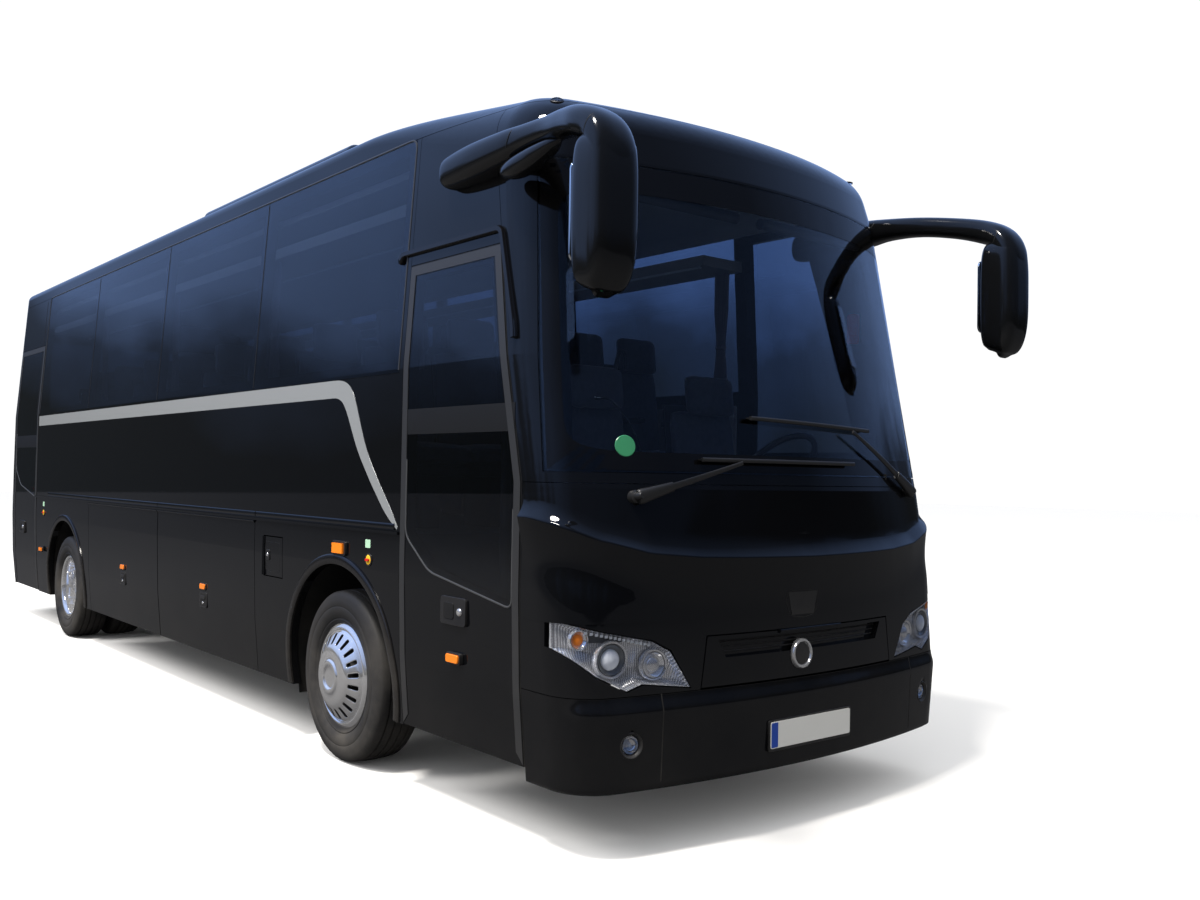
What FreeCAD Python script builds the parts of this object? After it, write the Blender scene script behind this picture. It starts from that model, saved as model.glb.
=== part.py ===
import FreeCAD, Part
import math
import os
import re
from types import SimpleNamespace

import Sketcher

# Midibus, a 9.5 m touring coach with two outward plug doors on its right side.
# +X points forward, +Y to the driver's side (left), +Z up. The origin is on the
# ground in the middle of the overall length, from mirror heads to rear bumper.

V = FreeCAD.Vector
doc = FreeCAD.newDocument("midibus")
sheet = doc.addObject("Spreadsheet::Sheet", "sizes")

# Driving dimensions in millimetres and degrees: name, value, what it is.
SIZES = (
    # Running gear and overall places
    ("wheelbase", 5170, "front axle to rear axle"),
    ("front_axle_x", 2565, "front axle ahead of the middle"),
    ("front_overhang", 2070, "front axle to the bumper's nose"),
    ("rear_overhang", 2260, "rear axle to the rearmost panel"),
    ("half_width", 1200, "middle to the widest panel"),
    ("roof_height", 3200, "ground to the roof's crown"),
    # Body shell
    ("wall", 45, "thickness of walls, doors and roof"),
    ("flap_wall", 38, "thickness of luggage flaps and lids"),
    ("glass_wall", 8, "thickness of bonded glass"),
    ("seat_gap", 0.3, "clearance between a piece and its seat"),
    ("seam", 3, "gap between fixed outside panels"),
    ("door_gap", 6, "gap round doors, flaps and lids"),
    ("roof_edge", 70, "radius along the roof's sides and rear"),
    ("brow_edge", 230, "radius along the roof's front edge"),
    ("crown_radius", 30000, "roof's arch across the body"),
    ("dome_radius", 9500, "roof's fall towards the front"),
    ("tail_radius", 5000, "bow of the rear in plan"),
    ("tail_corner", 250, "rear corners in plan"),
    ("sill_z", 305, "underside of the skirts"),
    ("bumper_low_z", 258, "underside of the front bumper"),
    ("lamp_z", 625, "seam between bumper and the panel above"),
    ("waist_z", 1180, "aluminium rail, top of the skirts"),
    ("window_low_z", 1930, "underside of the window band"),
    ("window_high_z", 3040, "top of the window band"),
    ("waist_rail_size", 14, "how far the aluminium rail stands out"),
    # Windows
    ("pane_pitch", 1710, "length of one side window"),
    ("first_seam_x", 3165, "front end of the foremost side window"),
    ("pillar", 60, "frame behind the glass round a window"),
    ("driver_window_low_z", 1560, "underside of the driver's window"),
    ("screen_low_z", 1482, "underside of the windscreen"),
    ("screen_high_z", 2768, "top of the windscreen"),
    ("screen_low_x", 4270, "windscreen's side edge at its underside"),
    ("screen_high_x", 4085, "windscreen's side edge at its top"),
    ("rear_window_low_z", 1930, "underside of the rear window"),
    ("rear_window_high_z", 2800, "top of the rear window"),
    ("rear_window_half", 900, "half width of the rear window"),
    # Doors
    ("door_rear_x", 3205, "front door's rear edge"),
    ("door_width", 960, "front door opening along the body"),
    ("door_top_z", 2430, "top of the front door opening"),
    ("door_lean", 220, "how far the door's front edge leans back"),
    ("door_knee_z", 1440, "where the door's front edge starts to lean, and the mask's seam"),
    ("rear_door_gap_x", 980, "rear axle to the rear door's front edge"),
    ("rear_door_width", 900, "rear door opening along the body"),
    ("rear_door_top_z", 2600, "top of the rear door opening"),
    ("door_frame", 50, "width of a door's frame round its glass"),
    ("door_glass_lap", 20, "door frame behind the edge of its glass"),
    ("door_glass_z", 929, "lowest point of the front door's glass"),
    ("arm_reach", 330, "door arm from post to leaf"),
    ("arm_angle", 4, "how far the closed arm points inwards"),
    ("arm_low_z", 520, "lower door arm"),
    ("arm_high_z", 1700, "upper door arm"),
    ("door_bar", 120, "height of the bar across a door's glass"),
    ("arm_radius", 15, "door arm's tube"),
    ("post_radius", 25, "door post's tube"),
    ("post_y", 1060, "door post from the middle"),
    ("door_post_back", 300, "door post behind the opening's front edge"),
    ("pin_radius", 8, "pin between arm and leaf"),
    # Skirts, flaps and lids
    ("arch_radius", 570, "wheel arch opening"),
    ("housing_gap", 10, "wheel housing outside the arch opening"),
    ("housing_wall", 8, "wheel housing's sheet"),
    ("housing_inner_y", 560, "inner end of the wheel housings"),
    ("bay_front_gap", 1030, "front axle to the luggage bay's front end"),
    ("bay_rear_gap", 740, "rear axle to the luggage bay's rear end"),
    ("hinge_radius", 5, "hinge bead along a flap or lid"),
    ("hatch_front_x", 1920, "service hatch's front edge"),
    ("hatch_length", 260, "service hatch along the body"),
    ("hatch_low_z", 870, "service hatch's underside"),
    ("hatch_tall", 230, "service hatch's height"),
    ("lamp_rear_x", 4325, "rear end of the headlamps on the body's side"),
    ("lid_top_z", 840, "top of the front lid"),
    ("lid_top_half", 590, "half width of the front lid at its top"),
    ("lid_low_half", 620, "half width of the front lid at its underside"),
    ("engine_lid_low_z", 700, "underside of the engine lid"),
    ("engine_lid_high_z", 1650, "top of the engine lid"),
    ("engine_lid_half", 860, "half width of the engine lid"),
    ("slot_low_z", 745, "underside of the slot in the front lid"),
    ("slot_high_z", 820, "top of the slot"),
    ("slot_low_half", 490, "half width of the slot at its underside"),
    ("slot_high_half", 530, "half width of the slot at its top"),
    ("slot_depth", 30, "depth of the slot"),
    # Floor, steps and luggage bay
    ("floor_wall", 50, "thickness of the cabin floor"),
    ("driver_floor_z", 880, "top of the driver's platform"),
    ("step_rise", 265, "height of one entry step"),
    ("step_going", 210, "depth of one entry step"),
    ("step_wall", 20, "thickness of the entry steps"),
    ("stair_inner_y", 450, "inner end of the front stairwell"),
    ("bay_wall", 20, "luggage bay's floor and bulkheads"),
    ("bay_half", 1085, "half width of the luggage bay"),
    # Underframe and running gear
    ("rail_y", 430, "frame rail from the middle"),
    ("rail_width", 80, "frame rail across"),
    ("rail_low_z", 620, "underside of the frame rails"),
    ("rail_height", 140, "frame rail's height"),
    ("post_width", 60, "frame post along the body"),
    ("post_setback", 120, "luggage bay to the nearest frame posts"),
    ("frame_front_gap", 285, "nose of the bus to the frame's front end"),
    ("frame_rear_gap", 165, "rearmost panel to the frame's rear end"),
    ("tow_bore", 20, "radius of the towing eye's bore"),
    ("tow_half", 40, "half width of the towing eye"),
    ("tow_z", 385, "towing eye above the ground"),
    ("tyre_radius", 433.5, "tyre, unloaded"),
    ("tyre_width", 262, "tyre across its walls"),
    ("tyre_sides", 48, "straight runs round a tyre, few for a light mesh"),
    ("bead_radius", 250, "tyre's seat on the rim"),
    ("flange_radius", 266, "rim's flange"),
    ("rim_half", 104, "half width of the rim"),
    ("wheel_y", 1040, "outer tyre's middle plane"),
    ("twin_pitch", 307, "between the middle planes of twin tyres"),
    ("hub_radius", 70, "front hub in the rim"),
    ("rear_hub_radius", 80, "rear hub in the rim"),
    ("drum_radius", 205, "brake drum"),
    ("kingpin_y", 880, "kingpin from the middle"),
    ("kingpin_radius", 20, "kingpin"),
    ("eye_radius", 45, "axle beam's eye round the kingpin"),
    ("beam_low_z", 370, "underside of the front axle beam"),
    ("beam_height", 90, "front axle beam's height"),
    ("beam_width", 90, "front axle beam along the body"),
    ("casing_radius", 75, "rear axle casing"),
    ("diff_radius", 180, "rear axle's final drive"),
    ("bellows_radius", 90, "air spring"),
    ("engine_length", 950, "engine and gearbox along the body"),
    ("engine_half", 370, "half width of the engine"),
    ("engine_low_z", 700, "underside of the engine"),
    ("engine_high_z", 1100, "top of the engine"),
    ("engine_gap", 240, "engine to the rearmost panel"),
    # Outside fittings
    ("mirror_reach", 1105, "nose of the bus to the rear end of the mirror arm's casing"),
    ("mirror_casing", 560, "the casing's length"),
    ("mirror_casing_out", 55, "how far the casing stands out from the body"),
    ("mirror_casing_z", 2790, "the casing's middle above the ground"),
    ("mirror_y", 1300, "mirror head's middle from the middle"),
    ("mirror_across", 200, "mirror head across"),
    ("mirror_deep", 140, "mirror head along the body"),
    ("mirror_low_z", 2110, "underside of the mirror head"),
    ("mirror_tall", 555, "mirror head's height"),
    ("mirror_proud", 230, "mirror head's face ahead of the bumper's nose"),
    ("mirror_round", 35, "mirror head's edges"),
    ("mirror_arm", 48, "mirror arm's radius"),
    ("unit_length", 2330, "roof air conditioner's length"),
    ("unit_front_x", 2030, "roof air conditioner's front end"),
    ("unit_half", 900, "roof air conditioner's half width"),
    ("unit_top_z", 3335, "top of the roof air conditioner"),
    ("unit_round", 60, "roof air conditioner's edges"),
    ("plate_length", 520, "number plate"),
    ("plate_height", 110, "number plate's height"),
    ("plate_wall", 4, "number plate's thickness"),
    ("plate_z", 406, "number plate's middle"),
    ("fog_radius", 45, "fog lamp"),
    ("fog_y", 942, "fog lamp from the middle"),
    ("fog_z", 443, "fog lamp above the ground"),
    ("lamp_depth", 60, "depth of the lamps"),
    ("wiper_radius", 9, "wiper arm and blade"),
    ("wiper_gap", 16, "wiper off the glass"),
    # Cabin
    ("seat_width", 860, "double seat across"),
    ("seat_pitch", 760, "between rows of seats"),
    ("seat_front_x", 2480, "foremost row of seats"),
    ("seat_y", 610, "double seat's middle from the middle"),
    ("seat_legs", 300, "underside of the cushion above its floor"),
    ("seat_cushion", 150, "cushion's thickness"),
    ("seat_depth", 460, "cushion's depth"),
    ("seat_back", 1150, "top of the backrest above its floor"),
    ("seat_back_wall", 110, "backrest's thickness"),
    ("seat_lean", 110, "how far the backrest leans"),
    ("crew_seat_x", 3330, "driver's and guide's seats"),
    ("crew_seat_width", 480, "driver's and guide's seats across"),
    ("driver_y", 620, "driver's seat from the middle"),
    ("guide_y", 200, "guide's seat, right of the middle"),
    ("dash_x", 4020, "rear face of the dashboard"),
    ("dash_top_z", 1560, "top of the dashboard"),
    ("wheel_rim_radius", 225, "steering wheel"),
    ("wheel_rim_tube", 16, "steering wheel's rim"),
    ("rack_low_z", 2700, "underside of the parcel racks"),
    ("rack_wall", 60, "parcel rack's thickness"),
    ("rack_depth", 320, "parcel rack from the wall"),
    ("curtain_width", 120, "tied curtain along the body"),
    ("curtain_wall", 40, "tied curtain's thickness"),
    ("curtain_y", 1070, "curtain's middle from the middle"),
    ("curtain_low_z", 1960, "curtain's lower end"),
)
for row, (alias, value, meaning) in enumerate(SIZES, 1):
    sheet.set(f"A{row}", meaning)
    sheet.set(f"B{row}", str(value))
    sheet.setAlias(f"B{row}", alias)
doc.recompute()
at = SimpleNamespace(**{alias: float(sheet.get(alias)) for alias, _, _ in SIZES})

# Places that follow from the driving dimensions, as formulas for the document.
NOSE = "(front_axle_x + front_overhang)"
REAR_AXLE = "(front_axle_x - wheelbase)"
TAIL = "(front_axle_x - wheelbase - rear_overhang)"
OUTSIDE = "(half_width + 400)"
FLOOR_LOW = "(waist_z - floor_wall)"
DOOR_FRONT = "(door_rear_x + door_width)"
REAR_DOOR_FRONT = "(front_axle_x - wheelbase - rear_door_gap_x)"
REAR_DOOR_REAR = "(front_axle_x - wheelbase - rear_door_gap_x - rear_door_width)"
BAY_FRONT = "(front_axle_x - bay_front_gap)"
BAY_REAR = "(front_axle_x - wheelbase + bay_rear_gap)"
FLAP_LENGTH = "((wheelbase - bay_front_gap - bay_rear_gap) / 2)"
RAIL_HIGH = "(rail_low_z + rail_height)"
SIDES = (("left", 1), ("right", -1))


def bind(thing, prop, formula):
    """Ties a property to a formula whose words are names in the sheet."""
    prefix = lambda word: "sizes." + word.group() if word.group() in at.__dict__ else word.group()
    named = re.sub(r"[a-z][a-z_]*[a-z]", prefix, str(formula))
    thing.setExpression(prop, named)


def box(name, x, y, z):
    """A block between (low, high) pairs of formulas along X, Y and Z."""
    block = doc.addObject("Part::Box", name)
    for prop, axis, (low, high) in zip(("Length", "Width", "Height"), "xyz", (x, y, z)):
        bind(block, prop, f"({high}) - ({low})")
        bind(block, "Placement.Base." + axis, low)
    return block


def rod(name, axis, radius, length, x, y, z):
    """A round bar that starts at x, y, z and runs along axis."""
    bar = doc.addObject("Part::Cylinder", name)
    bar.Placement = FreeCAD.Placement(V(), FreeCAD.Rotation(V(0, 0, 1), axis))
    bind(bar, "Radius", radius)
    bind(bar, "Height", length)
    for prop, place in zip("xyz", (x, y, z)):
        bind(bar, "Placement.Base." + prop, place)
    return bar


def across(side, low, high):
    """A (low, high) pair along Y on the left (1) or mirrored to the right (-1)."""
    if side > 0:
        return low, high
    return f"-({high})", f"-({low})"


def outline_sketch(body, plane, points):
    """A closed outline whose corners are pairs of formulas in an origin plane of the body."""
    sketch = body.newObject("Sketcher::SketchObject", body.Name + "_outline")
    origin = next(face for face in body.Origin.OriginFeatures if face.Role == plane)
    sketch.AttachmentSupport = (origin, [""])
    sketch.MapMode = "FlatFace"
    count = len(points)
    turn = 2 * math.pi / count
    start = [V(math.cos(turn * k), math.sin(turn * k), 0) * 100 for k in range(count)]
    for k in range(count):
        sketch.addGeometry(Part.LineSegment(start[k], start[(k + 1) % count]), False)
    for k in range(count):
        sketch.addConstraint(Sketcher.Constraint("Coincident", k, 2, (k + 1) % count, 1))
    for k, corner in enumerate(points):
        for kind, formula, first in zip(("DistanceX", "DistanceY"), corner, start[k]):
            number = sketch.addConstraint(Sketcher.Constraint(kind, -1, 1, k, 1, first))
            bind(sketch, f"Constraints[{number}]", formula)
    return sketch


def pad(name, plane, points, low, high):
    """An outline padded from low to high: along Y for XZ_Plane, X for YZ_Plane, Z for XY_Plane."""
    body = doc.addObject("PartDesign::Body", name)
    sketch = outline_sketch(body, plane, points)
    bind(sketch, "AttachmentOffset.Base.z", f"-({high})" if plane == "XZ_Plane" else low)
    thick = body.newObject("PartDesign::Pad", name + "_pad")
    thick.Profile = sketch
    bind(thick, "Length", f"({high}) - ({low})")
    return body


def turned(name, points, x, y, z, outward=1):
    """An outline of (radius, distance outward) formulas turned about the Y axis through x, y, z."""
    body = doc.addObject("PartDesign::Body", name)
    corners = [(radius, f"({outward}) * ({way})") for radius, way in points]
    sketch = outline_sketch(body, "XY_Plane", corners)
    turning = body.newObject("PartDesign::Revolution", name + "_turned")
    turning.Profile = sketch
    turning.ReferenceAxis = (sketch, ["V_Axis"])
    for prop, place in zip("xyz", (x, y, z)):
        bind(body, "Placement.Base." + prop, place)
    return body


def rolled(name, points, x, y, z):
    """An outline of (radius, distance outward) formulas carried round a wheel in straight runs."""
    body = doc.addObject("PartDesign::Body", name + "_section")
    path = doc.addObject("Part::RegularPolygon", name + "_path")
    path.Placement.Rotation = FreeCAD.Rotation(V(1, 0, 0), 90)
    bind(path, "Polygon", "tyre_sides")
    bind(path, "Circumradius", "tyre_radius")
    result = doc.addObject("Part::Sweep", name)
    result.Sections = [outline_sketch(body, "XY_Plane", points)]
    result.Spine = (path, [f"Edge{number}" for number in range(1, round(at.tyre_sides) + 1)])
    result.Solid = True
    result.Transition = "Right corner"
    for prop, place in zip("xyz", (x, y, z)):
        bind(result, "Placement.Base." + prop, place)
    return result


def cut(name, base, *tools):
    """The base with each tool cut from it."""
    for number, tool in enumerate(tools, 1):
        result = doc.addObject("Part::Cut", name if number == len(tools) else f"{name}_cut{number}")
        result.Base = base
        result.Tool = tool
        base = result
    return base


def common(name, first, second):
    """What two shapes share."""
    result = doc.addObject("Part::Common", name)
    result.Base = first
    result.Tool = second
    return result


def fuse(name, *pieces):
    """Pieces joined where they touch, and kept apart where they don't."""
    result = doc.addObject("Part::MultiFuse", name)
    result.Shapes = list(pieces)
    return result


def feature(name, shape):
    """A shape that Part's own functions make from the sheet's sizes."""
    result = doc.addObject("Part::Feature", name)
    result.Shape = shape
    return result


# ---------------------------------------------------------------- body shell

# Level sections of the body: height, how far the half width, the nose and the
# tail draw in from their widest, and the nose's bow and corner radii in plan.
LEVELS = (
    # z, half width in, nose in, tail in, bow, corner
    (250, 46, 15, 30, 5000, 200),
    (620, 13, 0, 0, 5000, 200),
    (1000, 0, 0, 0, 4200, 250),
    (1420, 0, 10, 0, 3000, 300),
    (1950, 0, 110, 20, 2800, 300),
    (2780, 57, 265, 57, 2800, 300),
    (3300, 93, 438, 80, 2800, 300),
)


def end_arc(end, side, radius, corner, half, z):
    """One bowed end of a level section: corner centre, tangent point and corner middle."""
    centre = end - side * radius
    corner_x = centre + side * math.sqrt((radius - corner) ** 2 - (half - corner) ** 2)
    span = math.hypot(corner_x - centre, half - corner)
    touch = V(centre + (corner_x - centre) * radius / span, (half - corner) * radius / span, z)
    angle = math.atan2(touch.y - (half - corner), touch.x - corner_x)
    middle = (angle + math.pi / 2) / 2
    bend = V(corner_x + corner * math.cos(middle), half - corner + corner * math.sin(middle), z)
    return corner_x, touch, bend


def level_wire(z, half, nose, tail, bow, corner, inset):
    """A level section: straight sides, bowed nose and tail, round corners."""
    fx, f_touch, f_bend = end_arc(nose, 1, bow - inset, corner - inset, half, z)
    rx, r_touch, r_bend = end_arc(tail, -1, at.tail_radius - inset, at.tail_corner - inset, half, z)
    flip = lambda p: V(p.x, -p.y, p.z)
    return Part.Wire([
        Part.LineSegment(V(rx, -half, z), V(fx, -half, z)).toShape(),
        Part.Arc(V(fx, -half, z), flip(f_bend), flip(f_touch)).toShape(),
        Part.Arc(flip(f_touch), V(nose, 0, z), f_touch).toShape(),
        Part.Arc(f_touch, f_bend, V(fx, half, z)).toShape(),
        Part.LineSegment(V(fx, half, z), V(rx, half, z)).toShape(),
        Part.Arc(V(rx, half, z), r_bend, r_touch).toShape(),
        Part.Arc(r_touch, V(tail, 0, z), flip(r_touch)).toShape(),
        Part.Arc(flip(r_touch), flip(r_bend), V(rx, -half, z)).toShape(),
    ])


def hull_blank(inset):
    """The body's outer form with sharp roof edges, drawn in by inset on every side."""
    nose = at.front_axle_x + at.front_overhang - inset
    tail = at.front_axle_x - at.wheelbase - at.rear_overhang + inset
    half = at.half_width - inset
    sections = [level_wire(z, half - half_in, nose - nose_in, tail + tail_in, bow, corner, inset)
                for z, half_in, nose_in, tail_in, bow, corner in LEVELS]
    tube = Part.makeLoft(sections, True, True)
    top = at.roof_height - inset
    crown = at.crown_radius - inset
    dome = at.dome_radius - inset
    wide = at.half_width * 1.2
    fall = crown - math.sqrt(crown ** 2 - wide ** 2)
    arch = Part.Arc(V(0, -wide, top - fall), V(0, 0, top), V(0, wide, top - fall)).toShape()
    corners = [V(0, wide, top - fall), V(0, wide, 0), V(0, -wide, 0), V(0, -wide, top - fall)]
    sides = [Part.LineSegment(a, b).toShape() for a, b in zip(corners, corners[1:])]
    gate = Part.Face(Part.Wire([arch] + sides))
    gate.translate(V(at.front_axle_x, 0, 0))
    straight = gate.extrude(V(tail - at.front_axle_x - at.roof_height, 0, 0))
    reach = math.degrees(math.asin(at.front_overhang / (dome - top))) + 2
    falling = gate.revolve(V(at.front_axle_x, 0, top - dome), V(0, 1, 0), reach)
    return tube.common(straight.fuse(falling)).Solids[0]


def roof_rim(body, inset):
    """Edges round the body's top: their numbers in the body with the radius at each end."""
    tops = [face for face in body.Faces if face.CenterOfMass.z > at.roof_height - inset - at.half_width / 6
            and face.normalAt(*[sum(face.ParameterRange[k:k + 2]) / 2 for k in (0, 2)]).z > 0.9]
    seen = [edge.hashCode() for face in tops for edge in face.Edges]
    side, brow = max(at.roof_edge - inset, 5), at.brow_edge - inset
    rim = []
    for number, edge in enumerate(body.Edges, 1):
        if seen.count(edge.hashCode()) != 1:
            continue
        ends = [edge.valueAt(way).x for way in edge.ParameterRange]
        along_side = edge.BoundBox.YLength < at.roof_edge
        if min(ends) < at.front_axle_x - at.seam:
            radii = (side, side)
        elif along_side:
            radii = (side, brow) if ends[0] < ends[1] else (brow, side)
        else:
            radii = (brow, brow)
        rim.append((number, *radii))
    return rim


def hull_form(name, inset):
    """The body's outer form drawn in by inset, its roof edges rounded and the front one most."""
    blank = feature(name + "_blank", hull_blank(inset))
    rounded = doc.addObject("Part::Fillet", name)
    rounded.Base = blank
    rounded.Edges = roof_rim(blank.Shape, inset)
    doc.recompute()
    return rounded


hull = hull_form("hull", 0)
hull_inside = hull_form("hull_inside", at.wall)
hull_lining = hull_form("hull_lining", at.wall + at.seat_gap)
hull_behind_flap = hull_form("hull_behind_flap", at.flap_wall)
hull_behind_glass = hull_form("hull_behind_glass", at.glass_wall)
hull_before_frame = hull_form("hull_before_frame", at.glass_wall + at.seat_gap)
hull_behind_lamp = hull_form("hull_behind_lamp", at.lamp_depth)
hull_over = hull_form("hull_over", -at.seat_gap)
shell = cut("shell", hull, hull_inside)
flap_shell = cut("flap_shell", hull, hull_behind_flap)
glass_shell = cut("glass_shell", hull, hull_behind_glass)
recess = cut("recess", hull, hull_before_frame)
lamp_shell = cut("lamp_shell", hull, hull_behind_lamp)


def leaning_outline(rear, front, low, knee, high, lean, gap):
    """A door's side view, drawn in by gap: upright edges, the front one leaning back above the knee."""
    return ((f"{rear} + ({gap})", f"{low} + ({gap})"), (f"{front} - ({gap})", f"{low} + ({gap})"),
            (f"{front} - ({gap})", knee), (f"{front} - ({lean}) - ({gap})", f"{high} - ({gap})"),
            (f"{rear} + ({gap})", f"{high} - ({gap})"))


# Doors: name, rear edge, front edge, top, lean of the front edge, lowest glass.
DOORS = (
    ("front_door", "door_rear_x", DOOR_FRONT, "door_top_z", "door_lean", "door_glass_z"),
    ("rear_door", REAR_DOOR_REAR, REAR_DOOR_FRONT, "rear_door_top_z", "0", "(door_glass_z + 250)"),
)


def door_prism(name, door, gap, inward="0"):
    """A prism through the right wall with a door's outline."""
    _, rear, front, high, lean, _ = door
    points = leaning_outline(rear, front, "(sill_z - 30)" if gap == "0" else "sill_z", "door_knee_z",
                             high, lean, gap)
    return pad(name, "XZ_Plane", points, f"-{OUTSIDE}", f"-({inward})")


door_openings = fuse("door_openings", *[door_prism(door[0] + "_opening", door, "0", "half_width / 2")
                                        for door in DOORS])
MASK_REAR_LOW = f"({DOOR_FRONT} + seam)"
MASK_REAR_HIGH = (f"({DOOR_FRONT} + seam - door_lean * (window_high_z - door_knee_z)"
                  " / (door_top_z - door_knee_z))")
REAR_EDGE = f"({REAR_DOOR_REAR} - seam)"
SIDE_REAR = {1: REAR_EDGE, -1: REAR_DOOR_REAR}


def pane_spans(side):
    """Side windows from front to rear: (rear end, front end) formulas."""
    rears = [f"(first_seam_x - pane_pitch * {k})" for k in range(1, 5)] + [f"({REAR_EDGE} + 2 * seam)"]
    if side < 0:
        rears = rears[:3] + [f"({REAR_DOOR_FRONT} + pillar / 2)"]
    return list(zip(rears, ["first_seam_x"] + rears))


def header_seams(side):
    """Upright seams that part the headers over the right side's doors from the wall between them."""
    y = across(side, "half_width / 2", OUTSIDE)
    return [box("header_seam_front", ("door_rear_x - seam", "door_rear_x"), y,
                ("door_top_z", "window_high_z")),
            box("header_seam_rear", (REAR_DOOR_FRONT, f"{REAR_DOOR_FRONT} + seam"), y,
                ("rear_door_top_z", "window_high_z"))]


def side_walls():
    """Side walls above the aluminium rail, with the glass recess and window openings cut."""
    for label, side in SIDES:
        name = "side_wall_" + label
        points = ((SIDE_REAR[side], "waist_z"), (DOOR_FRONT, "waist_z"), (DOOR_FRONT, "door_knee_z"),
                  (f"({MASK_REAR_HIGH} - seam)", "window_high_z"), (SIDE_REAR[side], "window_high_z"))
        y = across(side, "half_width / 2", OUTSIDE)
        wall = common(name + "_panel", shell, pad(name + "_region", "XZ_Plane", points, *y))
        cuts = [box(f"{name}_opening{number}", (f"{rear} + pillar", f"{front} - pillar"), y,
                    ("window_low_z + pillar", "window_high_z - pillar"))
                for number, (rear, front) in enumerate(pane_spans(side))]
        band = box(name + "_band", (pane_spans(side)[-1][0], "first_seam_x"), y,
                   ("window_low_z", "window_high_z + seam"))
        cuts.append(common(name + "_recess", recess, band))
        rail = box(name + "_rail", (SIDE_REAR[side], DOOR_FRONT), across(side, "half_width - wall / 2",
                   "half_width + waist_rail_size"), ("waist_z", "waist_z + waist_rail_size"))
        if side > 0:
            cuts.append(driver_window_prism("driver_window_opening", "pillar"))
            cuts.append(common("driver_window_recess", recess, driver_window_prism("driver_window_band", "0")))
        else:
            cuts += [door_openings, *header_seams(side)]
            rail = cut(name + "_strip", rail, door_openings)
        fuse(name, cut(name + "_open", wall, *cuts), rail)


def driver_window_prism(name, gap):
    """The driver's window, whose front edge leans like the door's."""
    points = ((f"first_seam_x + seam + {gap}", f"driver_window_low_z + {gap}"),
              (f"{DOOR_FRONT} - 2 * pillar - {gap}", f"driver_window_low_z + {gap}"),
              (f"{MASK_REAR_HIGH} - 2 * pillar - {gap}", f"window_high_z - 2 * pillar - {gap}"),
              (f"first_seam_x + seam + {gap}", f"window_high_z - 2 * pillar - {gap}"))
    return pad(name, "XZ_Plane", points, "half_width / 2", OUTSIDE)


def side_glass():
    """Bonded side windows, one pane to a window, and the driver's window on the left."""
    for label, side in SIDES:
        name = "side_glass_" + label
        y = across(side, "half_width / 2", OUTSIDE)
        panes = []
        for number, (rear, front) in enumerate(pane_spans(side)):
            region = box(f"{name}_region{number}", (f"{rear} + seam", f"{front} - seam"), y,
                         ("window_low_z + seam", "window_high_z"))
            panes.append(common(f"{name}_pane{number}", glass_shell, region))
        if side > 0:
            panes.append(common("driver_window_pane", glass_shell,
                                driver_window_prism("driver_window_region", "seam")))
        fuse(name, *panes)


def arches(name):
    """Round cutters for the four wheel arches, across the whole body."""
    return [rod(f"{name}_{axle}", V(0, 1, 0), "arch_radius", f"2 * {OUTSIDE}", x, f"-{OUTSIDE}",
                "tyre_radius")
            for axle, x in (("front", "front_axle_x"), ("rear", REAR_AXLE))]


def flap_regions(side, gap, name):
    """The luggage flaps of one side, drawn in by gap."""
    y = across(side, "half_width / 2", OUTSIDE)
    return [box(f"{name}{k}", (f"{BAY_FRONT} - {FLAP_LENGTH} * {k + 1} + {gap}",
                               f"{BAY_FRONT} - {FLAP_LENGTH} * {k} - {gap}"), y,
                ("sill_z - 30" if gap == "0" else "sill_z", f"waist_z - {gap}")) for k in range(2)]


def hatch_region(name, gap):
    """The small service hatch behind the right front arch."""
    return box(name, (f"hatch_front_x - hatch_length + {gap}", f"hatch_front_x - {gap}"),
               across(-1, "half_width / 2", OUTSIDE),
               (f"hatch_low_z + {gap}", f"hatch_low_z + hatch_tall - {gap}"))


def skirts():
    """Lower side panels with the arches, flaps, hatch and doors cut out."""
    for label, side in SIDES:
        name = "skirt_" + label
        region = box(name + "_region", (SIDE_REAR[side], DOOR_FRONT),
                     across(side, "half_width / 2", OUTSIDE), ("sill_z", "waist_z"))
        panel = common(name + "_panel", shell, region)
        tools = arches(name + "_arch") + flap_regions(side, "0", name + "_flap")
        if side < 0:
            tools += [door_openings, hatch_region(name + "_hatch", "0")]
        cut(name, panel, *tools)


def flaps():
    """Top-hinged luggage flaps, each with its hinge bead under the aluminium rail."""
    for label, side in SIDES:
        for number, region in enumerate(flap_regions(side, "door_gap", f"flap_{label}_region"), 1):
            name = f"flap_{label}_{number}"
            rear = f"({BAY_FRONT} - {FLAP_LENGTH} * {number} + door_gap)"
            bead = rod(name + "_bead", V(1, 0, 0), "hinge_radius", f"{FLAP_LENGTH} - 2 * door_gap", rear,
                       f"{side} * (half_width + hinge_radius)", "waist_z - seat_gap - hinge_radius")
            tongue = box(name + "_tongue", (rear, f"{rear} + {FLAP_LENGTH} - 2 * door_gap"),
                         across(side, "half_width - hinge_radius", "half_width + hinge_radius"),
                         ("waist_z - seat_gap - 2 * hinge_radius - door_gap",
                          "waist_z - seat_gap - hinge_radius"))
            fuse(name, common(name + "_panel", flap_shell, region), bead, tongue)


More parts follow.
